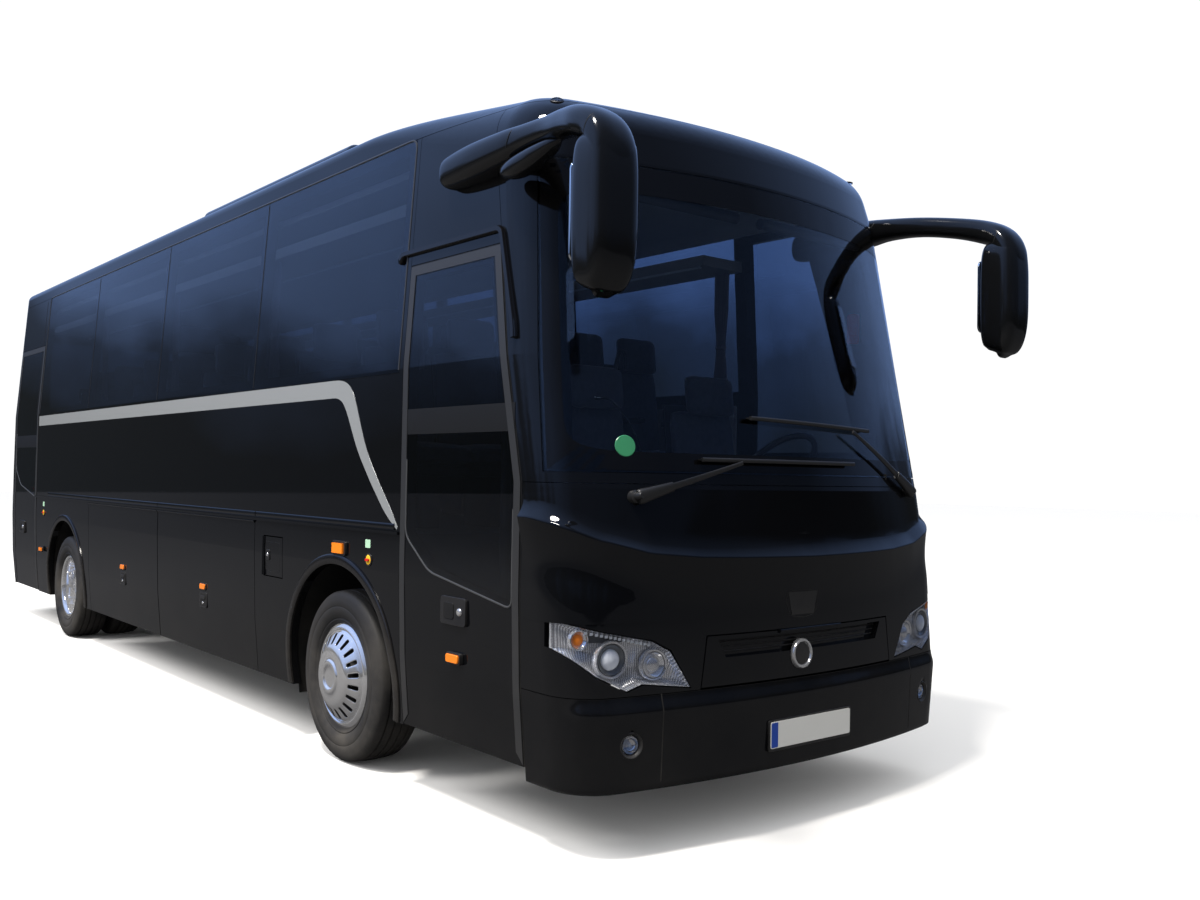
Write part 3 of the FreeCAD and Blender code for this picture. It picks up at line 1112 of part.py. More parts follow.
def mirror_arm():
    """The left arm's tube, from inside the casing forward and down into the back of the mirror head."""
    nose = at.front_axle_x + at.front_overhang
    face = nose + at.mirror_proud
    top = at.mirror_low_z + at.mirror_tall
    start = V(nose - at.mirror_reach + at.mirror_casing - at.mirror_arm, at.half_width,
              at.mirror_casing_z + at.mirror_arm / 4)
    bend = V(face - at.mirror_deep - at.mirror_arm / 2, at.mirror_y, top + 0.75 * at.mirror_arm)
    middle = V((start.x + bend.x) / 2 + at.mirror_arm, (start.y + bend.y) / 2, start.z - at.mirror_arm)
    elbow = V(face - 1.8 * at.mirror_arm, at.mirror_y, top - at.mirror_arm / 5)
    foot = V(face - 1.4 * at.mirror_arm, at.mirror_y, top - 2.2 * at.mirror_arm)
    tubes = [Part.makeSphere(at.mirror_arm, bend)]
    for points in ((start, middle, bend), (bend, elbow, foot)):
        curve = Part.Arc(*points)
        ahead = curve.tangent(curve.FirstParameter)[0]
        ring = Part.Wire(Part.Circle(points[0], ahead, at.mirror_arm).toShape())
        tubes.append(Part.Wire(curve.toShape()).makePipeShell([ring], True, False))
    return tubes[0].fuse(tubes[1:])


def mirrors():
    """Mirror heads ahead of the windscreen, hung on arms from casings at the roof's edge."""
    low, high = "mirror_low_z", "(mirror_low_z + mirror_tall)"
    back, face = f"({NOSE} + mirror_proud - mirror_deep)", f"({NOSE} + mirror_proud)"
    head = ((back, f"{low} + 15"), (f"{face} - 50", low), (face, f"{low} + 110"), (face, f"{high} - 75"),
            (f"{face} - 65", high), (back, high))
    end, root, z = f"({NOSE} - mirror_reach)", f"({NOSE} - mirror_reach + mirror_casing)", "mirror_casing_z"
    casing = ((end, f"{z} + 10"), (f"{end} + 80", f"{z} - 75"), (root, f"{z} - 25"), (root, f"{z} + 65"),
              (f"{end} + 50", f"{z} + 85"))
    kerb = ((f"{root} - 70", f"{z} - 135"), (f"{root} - 10", f"{z} - 155"), (f"{root} + 220", f"{z} - 85"),
            (f"{root} + 340", f"{z} - 35"), (f"{root} + 210", f"{z} - 20"), (root, f"{z} - 65"))
    arm = mirror_arm()
    arms = {1: arm, -1: arm.mirror(V(0, 0, 0), V(0, 1, 0))}
    pieces = []
    for label, side in SIDES:
        block = pad("mirror_head_block_" + label, "XZ_Plane", head,
                    *across(side, "mirror_y - mirror_across / 2", "mirror_y + mirror_across / 2"))
        pieces.append(rounded_block("mirror_head_" + label, block, len(head), at.mirror_round))
        block = pad("mirror_casing_block_" + label, "XZ_Plane", casing,
                    *across(side, "half_width - 2 * mirror_casing_out", "half_width + mirror_casing_out"))
        cover = rounded_block("mirror_casing_" + label, block, len(casing), at.mirror_round / 2)
        stay = fuse("mirror_stay_" + label, cover, feature("mirror_arm_" + label, arms[side]))
        pieces.append(cut("mirror_hung_" + label, stay, hull_over))
    block = pad("kerb_mirror_block", "XZ_Plane", kerb,
                *across(-1, "mirror_y - mirror_across / 2", "mirror_y"))
    pieces.append(rounded_block("kerb_mirror", block, len(kerb), at.mirror_round / 2))
    fuse("mirrors", *pieces)


def wipers():
    """Parked wipers: an arm from each pivot and a blade along the foot of the windscreen."""
    runs = []
    # pivot y, pivot z, arm end y, arm end z, blade from y, z to y, z
    table = ((-897, 1389, -418, 1531, -602, 1541, 309, 1541), (885, 1416, 321, 1688, 478, 1698, -334, 1720))
    for pivot_y, pivot_z, end_y, end_z, from_y, from_z, to_y, to_z in table:
        for (ya, za), (yb, zb) in (((pivot_y, pivot_z), (end_y, end_z)), ((from_y, from_z), (to_y, to_z))):
            places = ((ya, za), ((ya + yb) / 2, (za + zb) / 2), (yb, zb))
            spots = [V(screen_x(y, z) + at.wiper_gap + at.wiper_radius, y, z) for y, z in places]
            for start, end in zip(spots, spots[1:]):
                length = start.distanceToPoint(end)
                runs.append(Part.makeCylinder(at.wiper_radius, length, start, end - start))
            runs += [Part.makeSphere(1.4 * at.wiper_radius, spot) for spot in spots]
        foot = screen_x(pivot_y, pivot_z)
        boss = Part.makeCylinder(2 * at.wiper_radius, at.wiper_gap + 2 * at.wiper_radius + at.wall,
                                 V(foot - at.wall, pivot_y, pivot_z), V(1, 0, 0))
        runs.append(boss.cut(hull_over.Shape))
    feature("wipers", runs[0].fuse(runs[1:]))


def screen_x(y, z):
    """How far forward the front surface lies at a place across and up."""
    low, high = next(pair for pair in zip(LEVELS, LEVELS[1:]) if pair[0][0] <= z <= pair[1][0])
    share = (z - low[0]) / (high[0] - low[0])
    drawn = low[2] + (high[2] - low[2]) * share
    bow = low[4] + (high[4] - low[4]) * share
    return at.front_axle_x + at.front_overhang - drawn - (bow - math.sqrt(bow ** 2 - y ** 2))


def number_plates():
    """Blank number plates on the bumper and the engine lid's foot."""
    y = ("-plate_length / 2", "plate_length / 2")
    z = ("plate_z - plate_height / 2", "plate_z + plate_height / 2")
    front = box("plate_front", (f"{NOSE} - 1.5 * plate_wall", f"{NOSE} - plate_wall / 2"), y, z)
    rear = box("plate_rear", (f"{TAIL} + 3 * plate_wall", f"{TAIL} + 4 * plate_wall"), y, z)
    cut("number_plates", fuse("plate_pair", front, rear), hull_over)


# ---------------------------------------------------------------------- cabin

def seat_outline(x, base):
    """A seat in side view: cushion on its plinth and leaning backrest."""
    top = f"{base} + seat_legs + seat_cushion"
    back = f"{x} - seat_lean"
    return ((f"{x} + 90", f"{base} + seat_gap"), (f"{x} + seat_depth - 90", f"{base} + seat_gap"),
            (f"{x} + seat_depth - 90", f"{base} + seat_legs"), (f"{x} + seat_depth", f"{base} + seat_legs"),
            (f"{x} + seat_depth", top), (f"{x} + seat_back_wall", top),
            (f"{back} + seat_back_wall", f"{base} + seat_back"), (back, f"{base} + seat_back"),
            (x, f"{base} + seat_legs"), (f"{x} + 90", f"{base} + seat_legs"))


def seats():
    """Double passenger seats in rows, and single seats for the driver and the guide."""
    pieces = []
    for label, side in SIDES:
        for row in range(9 if side > 0 else 8):
            pieces.append(pad(f"seat_{label}{row}", "XZ_Plane", seat_outline(f"(seat_front_x - seat_pitch * {row})",
                                                                          "waist_z"),
                              *across(side, "seat_y - seat_width / 2", "seat_y + seat_width / 2")))
    for name, y in (("driver", "driver_y"), ("guide", "-guide_y")):
        pieces.append(pad(name + "_seat", "XZ_Plane", seat_outline("crew_seat_x", "driver_floor_z"),
                          f"{y} - crew_seat_width / 2", f"{y} + crew_seat_width / 2"))
    fuse("seats", *pieces)


def dashboard():
    """The dashboard across the front, with the steering column and wheel."""
    base = "driver_floor_z + seat_gap"
    points = (("dash_x", base), (f"{NOSE}", base), (f"{NOSE}", "dash_top_z - 60"), ("dash_x + 160", "dash_top_z"),
              ("dash_x", "dash_top_z - 90"))
    left = pad("dash_left", "XZ_Plane", points, "-stair_inner_y", "half_width")
    right = box("dash_right", (f"{DOOR_FRONT} + wall", NOSE), ("-half_width", "-stair_inner_y"),
                (base, "dash_top_z - 150"))
    body = common("dash_body", fuse("dash_blank", left, right),
                  hull_form("hull_dash", at.wall + 8))
    wheel_x = at.dash_x - 130
    wheel_z = at.dash_top_z - 30
    lean = V(-math.sin(math.radians(60)), 0, math.sin(math.radians(60)))
    hub = V(wheel_x, at.driver_y, wheel_z)
    rim = Part.makeTorus(at.wheel_rim_radius, at.wheel_rim_tube, hub, lean)
    boss = Part.makeCylinder(50, 40, hub - lean * 20, lean)
    column = Part.makeCylinder(30, 330, hub, lean * -1)
    spokes = [Part.makeCylinder(12, 2 * at.wheel_rim_radius, hub + V(0, -at.wheel_rim_radius, 0), V(0, 1, 0))]
    wheel = feature("steering_wheel", rim.fuse([boss, column] + spokes))
    fuse("dashboard", body, wheel)


def parcel_racks():
    """Parcel racks along both sides under the roof."""
    pieces = []
    for label, side in SIDES:
        rear = REAR_EDGE if side > 0 else f"({REAR_DOOR_FRONT} + seam)"
        block = box("rack_block_" + label, (rear, "first_seam_x"),
                    across(side, "half_width - wall - rack_depth - 60", "half_width"),
                    ("rack_low_z", "rack_low_z + rack_wall"))
        pieces.append(common("rack_" + label, block, hull_lining))
    fuse("parcel_racks", *pieces)


def curtains():
    """Tied curtains hung from the racks at the window pillars."""
    pieces = []
    for label, side in SIDES:
        for number in range(1, 4 if side < 0 else 5):
            x = f"(first_seam_x - pane_pitch * {number})"
            pieces.append(box(f"curtain_{label}{number}", (f"{x} - curtain_width / 2", f"{x} + curtain_width / 2"),
                              across(side, "curtain_y - curtain_wall / 2", "curtain_y + curtain_wall / 2"),
                              ("curtain_low_z", "rack_low_z - seat_gap")))
    fuse("curtains", *pieces)


for make in (side_walls, side_glass, skirts, flaps, service_hatch, front_mask, windscreen, front_lid, bumpers,
             front_lamps, rear_body, rear_glass, engine_lid, rear_and_side_lamps, roof, roof_unit, floor,
             entry_steps, luggage_bay, wheel_housings, frame_rails, frame_bars, engine, axles, air_springs,
             knuckles, wheels, plug_doors, mirrors, wipers, number_plates, seats, dashboard, parcel_racks, curtains):
    make()
doc.recompute()

# Sub-parts, each written to a file named by its Label.
NODES = (
    "side_wall_left", "side_wall_right", "side_glass_left", "side_glass_right", "skirt_left", "skirt_right",
    "flap_left_1", "flap_left_2", "flap_right_1", "flap_right_2", "service_hatch", "front_mask", "windscreen",
    "front_lid", "bumpers", "front_lamps", "rear_body", "rear_glass", "engine_lid", "rear_and_side_lamps",
    "roof", "roof_unit", "floor", "entry_steps", "luggage_bay", "wheel_housings", "frame_rails", "frame_bars",
    "engine", "front_axle", "rear_axle", "air_springs", "knuckle_left", "knuckle_right", "tyre_front_left",
    "tyre_front_right", "rim_front_left", "rim_front_right", "tyres_rear_left", "tyres_rear_right",
    "rim_rear_left", "rim_rear_right", "front_door_leaf", "front_door_glass", "front_door_arm",
    "rear_door_leaf", "rear_door_glass", "rear_door_arm", "mirrors", "wipers", "number_plates", "seats",
    "dashboard", "parcel_racks", "curtains",
)
failed = [thing.Name for thing in doc.Objects if "Invalid" in thing.State or "Error" in thing.State]
if failed:
    raise RuntimeError("objects that failed: " + ", ".join(failed))
shapes = {name: doc.getObject(name).Shape for name in NODES}
broken = [name for name, shape in shapes.items() if shape.isNull() or not shape.isValid()]
if broken:
    raise RuntimeError("sub-parts without a valid shape: " + ", ".join(broken))
os.makedirs("parts", exist_ok=True)
for name, shape in shapes.items():
    shape.exportStep(f"parts/{name}.step")
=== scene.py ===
import math

import bmesh
import bpy
from mathutils import Matrix, Vector
from mathutils.bvhtree import BVHTree


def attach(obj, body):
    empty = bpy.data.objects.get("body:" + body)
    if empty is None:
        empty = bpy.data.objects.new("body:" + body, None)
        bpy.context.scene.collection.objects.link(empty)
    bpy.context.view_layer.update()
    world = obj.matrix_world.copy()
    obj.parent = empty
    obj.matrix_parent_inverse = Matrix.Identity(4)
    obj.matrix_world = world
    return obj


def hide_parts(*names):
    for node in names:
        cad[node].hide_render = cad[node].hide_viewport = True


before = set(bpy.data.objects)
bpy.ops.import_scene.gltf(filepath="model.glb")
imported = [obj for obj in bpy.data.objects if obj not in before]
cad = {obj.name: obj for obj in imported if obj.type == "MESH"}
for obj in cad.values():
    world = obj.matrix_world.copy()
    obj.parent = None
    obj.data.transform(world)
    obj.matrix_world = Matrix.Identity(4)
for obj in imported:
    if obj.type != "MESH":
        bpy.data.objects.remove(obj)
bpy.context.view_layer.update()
scene = bpy.context.scene
scene.view_settings.view_transform = "Standard"


# ---------------------------------------------------------------- viewpoint
# The camera stands at a tall person's eye height, ahead of the bus on its
# door side, and looks back along both the front and the doors.
def point_camera(place, yaw, pitch, roll, lens):
    """A camera at a place, turned from straight back by yaw, up by pitch and tipped by roll."""
    ahead = Vector((-math.cos(yaw) * math.cos(pitch), math.sin(yaw) * math.cos(pitch), math.sin(pitch)))
    right = ahead.cross(Vector((0, 0, 1))).normalized()
    up = right.cross(ahead)
    across = right * math.cos(roll) + up * math.sin(roll)
    upward = up * math.cos(roll) - right * math.sin(roll)
    camera = bpy.data.objects.new("viewpoint", bpy.data.cameras.new("viewpoint"))
    camera.matrix_world = Matrix.Translation(place) @ Matrix((across, upward, -ahead)).transposed().to_4x4()
    camera.data.sensor_width = 36.0
    camera.data.lens = lens
    camera.data.clip_end = 200.0
    scene.collection.objects.link(camera)
    scene.camera = camera


point_camera(Vector((7.748, -3.763, 1.470)), math.radians(39.568), math.radians(1.316), math.radians(1.009),
             33.338)


# ------------------------------------------------------- floor and daylight
# A wide pale floor under a clear sky: blue overhead and dark along the
# horizon, as an open yard with trees has it. The camera sees plain white.
def new_material(name):
    """An empty material with its node tree and its shader."""
    material = bpy.data.materials.new(name)
    material.use_nodes = True
    tree = material.node_tree
    return material, tree, tree.nodes["Principled BSDF"]


def feed(tree, node, inputs):
    """A node whose inputs are joined to other sockets or set to values."""
    for label, value in inputs.items():
        if isinstance(value, bpy.types.NodeSocket):
            tree.links.new(value, node.inputs[label])
        else:
            node.inputs[label].default_value = value
    return node


def add_node(tree, kind, inputs, **settings):
    """A new shader node of some kind with its settings and its inputs."""
    node = tree.nodes.new("ShaderNode" + kind)
    for label, value in settings.items():
        setattr(node, label, value)
    return feed(tree, node, inputs)


def located(tree, space="Object"):
    """The place that is shaded, in one space."""
    return add_node(tree, "TexCoord", {}).outputs[space]


def split(tree, vector):
    """A vector's X, Y and Z."""
    return add_node(tree, "SeparateXYZ", {0: vector}).outputs


def noise(tree, place, **inputs):
    return add_node(tree, "TexNoise", {"Vector": place, **inputs}).outputs["Fac"]


def reckoned(tree, operation, *values):
    """The result of one step of arithmetic."""
    return add_node(tree, "Math", dict(enumerate(values)), operation=operation).outputs["Value"]


def stretched(tree, value, low, high, start=0.0, end=1.0):
    """A value whose range from low to high is stretched over another one."""
    inputs = {"Value": value, "From Min": low, "From Max": high, "To Min": start, "To Max": end}
    return add_node(tree, "MapRange", inputs).outputs["Result"]


def mixed(tree, factor, first, second):
    """A colour between two others."""
    return add_node(tree, "Mix", {"Factor": factor, "A": first, "B": second},
                    data_type="RGBA").outputs["Result"]


def rays(tree, kind):
    """Whether a ray is of one kind, such as a camera ray."""
    return add_node(tree, "LightPath", {}).outputs[f"Is {kind} Ray"]


def lay_floor(size, dull, pale):
    """The floor's sheet, pale where it is seen straight."""
    material, tree, shader = new_material("floor_pale")
    tint = mixed(tree, rays(tree, "Camera"), dull, pale)
    feed(tree, shader, {"Base Color": tint, "Roughness": 0.95, "Specular IOR Level": 0.1})
    mesh = bpy.data.meshes.new("floor")
    mesh.from_pydata([(-size, -size, 0), (size, -size, 0), (size, size, 0), (-size, size, 0)], [],
                     [(0, 1, 2, 3)])
    floor = bpy.data.objects.new("floor", mesh)
    mesh.materials.append(material)
    scene.collection.objects.link(floor)


def hang_sky(horizon, overhead, strength):
    """The sky's gradient for what mirrors it, and plain white for every other ray."""
    world = bpy.data.worlds.new("sky")
    world.use_nodes = True
    scene.world = world
    tree = world.node_tree
    facing = located(tree, "Generated")
    way = split(tree, facing)
    crowns = noise(tree, facing, Scale=5.0, Detail=6.0)
    level = reckoned(tree, "MULTIPLY_ADD", crowns, -0.34, reckoned(tree, "ADD", way["Z"], 0.17))
    ramp = add_node(tree, "ValToRGB", {"Fac": level})
    for element, place, colour in zip(ramp.color_ramp.elements, (0.02, 0.7), (horizon, overhead)):
        element.position = place
        element.color = colour
    for place, share in ((0.10, 0.10), (0.17, 0.55), (0.34, 0.8)):
        between = ramp.color_ramp.elements.new(place)
        between.color = [low + (high - low) * share for low, high in zip(horizon, overhead)]
    darker_ahead = stretched(tree, way["X"], -0.3, 0.6, 1.0, 0.14)
    shade = add_node(tree, "VectorMath", {0: ramp.outputs["Color"], "Scale": darker_ahead}, operation="SCALE")
    tint = mixed(tree, rays(tree, "Glossy"), (1.0, 1.0, 1.0, 1.0), shade.outputs[0])
    feed(tree, tree.nodes["Background"], {"Color": tint, "Strength": strength})


def soft_lamp(name, place, aim, size, power, tint, shown):
    """A large round lamp at a place, facing a point of the bus, shown in what mirrors it or not."""
    light = bpy.data.lights.new(name, "AREA")
    light.shape = "DISK"
    light.size = size
    light.energy = power
    light.color = tint
    lamp = bpy.data.objects.new(name, light)
    lamp.location = place
    lamp.rotation_euler = (Vector(aim) - Vector(place)).to_track_quat("-Z", "Y").to_euler()
    lamp.visible_glossy = shown
    scene.collection.objects.link(lamp)


lay_floor(60.0, (0.075, 0.075, 0.078, 1.0), (0.96, 0.96, 0.96, 1.0))
hang_sky((0.030, 0.034, 0.038, 1.0), (0.34, 0.53, 1.02, 1.0), 1.05)
soft_lamp("sun_side", (5.0, -6.5, 14.0), (2.0, 0.0, 1.5), 2.4, 2300.0, (1.0, 0.95, 0.88), True)
soft_lamp("sky_fill", (-3.0, -10.0, 10.0), (-1.0, 0.0, 1.5), 7.0, 1400.0, (1.0, 0.97, 0.93), False)


# -------------------------------------------------------------- body panels
# Steel and moulded panels in gloss black paint: walls, skirts, flaps, roof,
# front and rear. Lacquer has a faint ripple, and road dust lies low down.
def new_group(name, inputs, outputs):
    """An empty shader group with numbered inputs and the outputs it gives."""
    group = bpy.data.node_groups.new(name, "ShaderNodeTree")
    for label, kind, value in inputs:
        socket = group.interface.new_socket(name=label, in_out="INPUT", socket_type="NodeSocket" + kind)
        socket.default_value = value
    for label, kind in outputs:
        group.interface.new_socket(name=label, in_out="OUTPUT", socket_type="NodeSocket" + kind)
    return group, group.nodes.new("NodeGroupInput").outputs, group.nodes.new("NodeGroupOutput")


def road_dust_group():
    """Dust that thins out with height: tinted colour and a rougher gloss."""
    group, given, result = new_group("road_dust", [
        ("Color", "Color", (0.5, 0.5, 0.5, 1.0)), ("Gloss", "Float", 0.1),
        ("Dust", "Color", (0.16, 0.145, 0.125, 1.0)),
        ("Amount", "Float", 0.3), ("Top", "Float", 1.2)], [("Color", "Color"), ("Roughness", "Float")])
    place = located(group)
    fall = stretched(group, split(group, place)["Z"], 0.2, given["Top"], 1.0, 0.0)
    patch = stretched(group, noise(group, place, Scale=3.1, Detail=8.0, Roughness=0.68), 0.3, 0.75)
    mask = reckoned(group, "MULTIPLY", reckoned(group, "MULTIPLY", fall, patch), given["Amount"])
    feed(group, result, {"Color": mixed(group, mask, given["Color"], given["Dust"]),
                         "Roughness": reckoned(group, "MULTIPLY_ADD", mask, 0.8, given["Gloss"])})
    return group


def surface_ripple_group():
    """A fine uneven surface: lacquer ripple, casting skin or leather grain by scale."""
    group, given, result = new_group("surface_ripple", [("Scale", "Float", 40.0), ("Depth", "Float", 0.1)],
                                     [("Normal", "Vector"), ("Height", "Float")])
    grain = noise(group, located(group), Scale=given["Scale"], Detail=3.0)
    bump = add_node(group, "Bump", {"Distance": 0.002, "Strength": given["Depth"], "Height": grain})
    feed(group, result, {"Normal": bump.outputs["Normal"], "Height": grain})
    return group


road_dust = road_dust_group()
surface_ripple = surface_ripple_group()


def place_group(tree, group, **values):
    """The outputs of a shader group placed in a material with its own values."""
    return feed(tree, add_node(tree, "Group", {}, node_tree=group), values).outputs


def dusty_finish(name, tint, gloss, dust, top, ripple_scale, ripple_depth, metallic=0.0, specular=0.5,
                 coat=0.0):
    """A painted, moulded or metal finish with road dust low down and a fine surface ripple."""
    material, tree, shader = new_material(name)
    grime = place_group(tree, road_dust, Color=(*tint, 1.0), Gloss=gloss, Amount=dust, Top=top)
    ripple = place_group(tree, surface_ripple, Scale=ripple_scale, Depth=ripple_depth)
    feed(tree, shader, {"Base Color": grime["Color"], "Roughness": grime["Roughness"],
                        "Normal": ripple["Normal"],
                        "Metallic": metallic, "Specular IOR Level": specular, "Coat Weight": coat,
                        "Coat Roughness": 0.04})
    return material


def dress(material, *names):
    """Gives CAD nodes their finish."""
    for name in names:
        cad[name].data.materials.clear()
        cad[name].data.materials.append(material)


black_paint = dusty_finish("black_paint", (0.0028, 0.0031, 0.0040), 0.035, 0.05, 0.9, 9.0, 0.004,
                           specular=0.45)
dress(black_paint, "side_wall_left", "side_wall_right", "skirt_left", "skirt_right", "flap_left_1",
      "flap_left_2",
      "flap_right_1", "flap_right_2", "service_hatch", "front_mask", "bumpers", "front_lid", "rear_body",
      "engine_lid", "roof", "roof_unit", "mirrors", "front_door_leaf", "rear_door_leaf")


# ------------------------------------------------------------- waist stripe
# A silver-grey band under the windows that sweeps down to the waist rail
# behind the front door: cut foil on the lacquer, a good millimetre proud.
SIDES = ((-1, "right"), (1, "left"))
BODY_HALVES = ((0.25, 1.154), (0.62, 1.187), (1.0, 1.2), (1.95, 1.2), (2.78, 1.143), (3.3, 1.107))


def along_table(table, value):
    """A value read from a table of (place, value) pairs with straight lines between them."""
    for (start, low), (end, high) in zip(table, table[1:]):
        if value <= end:
            return low + (high - low) * max(0.0, value - start) / (end - start)
    return table[-1][1]


def on_side(side, x, z, proud):
    """A point on a side wall, or some way off it."""
    return x, side * (along_table(BODY_HALVES, z) + proud), z


def loft(rings, closed=True, capped=False, looped=False, gaps=(), mesh=None):
    """A mesh from rings of points, each joined to the next; points of a ring that coincide are one vertex."""
    mesh = bmesh.new() if mesh is None else mesh
    grid = []
    for ring in rings:
        corners = {tuple(point): None for point in ring}
        for point in corners:
            corners[point] = mesh.verts.new(point)
        grid.append([corners[tuple(point)] for point in ring])
    for ring in (grid[0], grid[-1]) if capped else ():
        mesh.faces.new(ring)
    for number, (near, far) in enumerate(zip(grid, grid[1:] + grid[:1] if looped else grid[1:])):
        for k in range(len(near) if closed else len(near) - 1):
            after = (k + 1) % len(near)
            face = list(dict.fromkeys((near[k], far[k], far[after], near[after])))
            if len(face) > 2 and (number, k) not in gaps:
                mesh.faces.new(face)
    return mesh


def make_piece(name, mesh, material, body="root", bevel=0.0, smooth=38.0):
    """A finished piece from a mesh: its finish, smooth shading up to an angle, rounded edges and its body."""
    bmesh.ops.recalc_face_normals(mesh, faces=mesh.faces)
    built = bpy.data.meshes.new(name)
    mesh.to_mesh(built)
    mesh.free()
    built.materials.append(material)
    built.shade_smooth()
    built.set_sharp_from_angle(angle=math.radians(smooth))
    piece = bpy.data.objects.new(name, built)
    scene.collection.objects.link(piece)
    if bevel:
        rounding = piece.modifiers.new("rounding", "BEVEL")
        rounding.width = bevel
        rounding.segments = 2
        rounding.limit_method = "ANGLE"
        rounding.angle_limit = math.radians(30)
        rounding.harden_normals = True
    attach(piece, body)
    return piece


def band_on_side(name, upper, lower, side, proud, material, body="root", depth=0.004):
    """A band between two matching lines of (x, z) on a side wall, standing proud of it."""
    rings = [(on_side(side, *high, proud), on_side(side, *low, proud), on_side(side, *low, -depth),
              on_side(side, *high, -depth)) for high, low in zip(upper, lower)]
    return make_piece(name, loft(rings, capped=True), material, body)


def even_line(points, count):
    """Points at even steps along a smooth line through the given ones."""
    steps = []
    for k in range(len(points) - 1):
        before, here = points[max(k - 1, 0)], points[k]
        there, after = points[k + 1], points[min(k + 2, len(points) - 1)]
        for step in range(count):
            t = step / count
            steps.append(tuple(0.5 * (2 * b + (c - a) * t + (2 * a - 5 * b + 4 * c - d) * t ** 2
                                      + (3 * b - a - 3 * c + d) * t ** 3)
                               for a, b, c, d in zip(before, here, there, after)))
    return steps + [tuple(points[-1])]


STRIPE_UPPER = ((2.46, 1.93), (2.593, 1.925), (2.683, 1.89), (2.744, 1.814), (2.808, 1.685), (2.873, 1.57),
                (2.968, 1.452), (3.038, 1.379), (3.123, 1.29), (3.185, 1.215))
STRIPE_LOWER = ((2.44, 1.84), (2.538, 1.838), (2.603, 1.815), (2.658, 1.755), (2.718, 1.66),
                (2.783, 1.565), (2.878, 1.458), (2.963, 1.372), (3.068, 1.275), (3.18, 1.203))
silver_foil = dusty_finish("silver_foil", (0.36, 0.38, 0.40), 0.22, 0.12, 1.6, 60.0, 0.02, metallic=0.35)
for (side, label), rear in zip(SIDES, (-3.562, -4.47)):
    band_on_side("stripe_" + label, [(rear, 1.93)] + even_line(STRIPE_UPPER, 4),
                 [(rear, 1.84)] + even_line(STRIPE_LOWER, 4), side, 0.0014, silver_foil)


# ------------------------------------------------------------------- wheels
# Road tyres with four tread grooves, bead and wall ridges. Polished steel
# trims: slotted domes in front, deep dishes with hand holes and nuts behind.
def polar_shell(name, rows, middle, out, material, body, stands_for=None, sectors=48, cells=1,
                open_rows=(), open_cells=(), wall=0.003, levels=0):
    """A shell of (radius, outward) rows turned about a wheel's axis, with an opening in each sector."""
    count = sectors * cells
    turns = [2 * math.pi * k / count for k in range(count)]
    rings = [[(middle[0] + radius * math.sin(turn), middle[1] + out * way,
               middle[2] + radius * math.cos(turn))
              for turn in turns] for radius, way in rows]
    gaps = {(row, k) for row in open_rows for k in range(count) if k % cells in open_cells}
    piece = make_piece(name, loft(rings, gaps=gaps), material, body, smooth=50.0)
    if wall:
        sheet = piece.modifiers.new("sheet", "SOLIDIFY")
        sheet.thickness = wall
        sheet.offset = 0.0
    if levels:
        rounding = piece.modifiers.new("rounding", "SUBSURF")
        rounding.levels = rounding.render_levels = levels
    if stands_for:
        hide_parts(stands_for)


TYRE_ROWS = ((0.252, 0.094), (0.262, 0.100), (0.270, 0.112), (0.283, 0.118), (0.288, 0.1155), (0.293, 0.1205),
             (0.320, 0.1285), (0.345, 0.1305), (0.349, 0.1285), (0.353, 0.1305), (0.378, 0.1275),
             (0.398, 0.1225),
             (0.407, 0.1190), (0.4185, 0.1120), (0.4265, 0.1030), (0.4290, 0.0800))
GROOVES = (0.066, 0.022, -0.022, -0.066)
FRONT_AXLE, REAR_AXLE, HUB_HIGH, TRACK, TWINS = 2.565, -2.605, 0.4335, 1.04, 0.307


def tyre_line():
    """The tyre's half section from one bead over the tread to the other."""
    tread = []
    for middle in GROOVES:
        crown = HUB_HIGH - 0.0045 * (abs(middle) / 0.08) ** 2
        tread += [(crown, middle + 0.0062), (crown - 0.011, middle + 0.0042),
                  (crown - 0.011, middle - 0.0042),
                  (crown, middle - 0.0062)]
    return list(TYRE_ROWS) + tread + [(radius, -way) for radius, way in reversed(TYRE_ROWS)]


def turned_rings(rows, place, axis, count):
    """Rings of points from (radius, along) rows turned about an axis through a place."""
    turn = Vector(axis).to_track_quat("Z", "Y").to_matrix()
    return [[Vector(place) + turn @ Vector((radius * math.cos(2 * math.pi * k / count),
                                            radius * math.sin(2 * math.pi * k / count), along))
             for k in range(count)] for radius, along in rows]


def wheel_nuts(name, radius, way, count, middle, out, body):
    """Domed nut caps on a ring."""
    mesh = bmesh.new()
    for number in range(count):
        turn = 2 * math.pi * (number + 0.5) / count
        place = (middle[0] + radius * math.sin(turn), middle[1] + out * way,
                 middle[2] + radius * math.cos(turn))
        loft(turned_rings(NUT_ROWS, place, (0, out, 0), 12), mesh=mesh)
    make_piece(name, mesh, chrome, body)


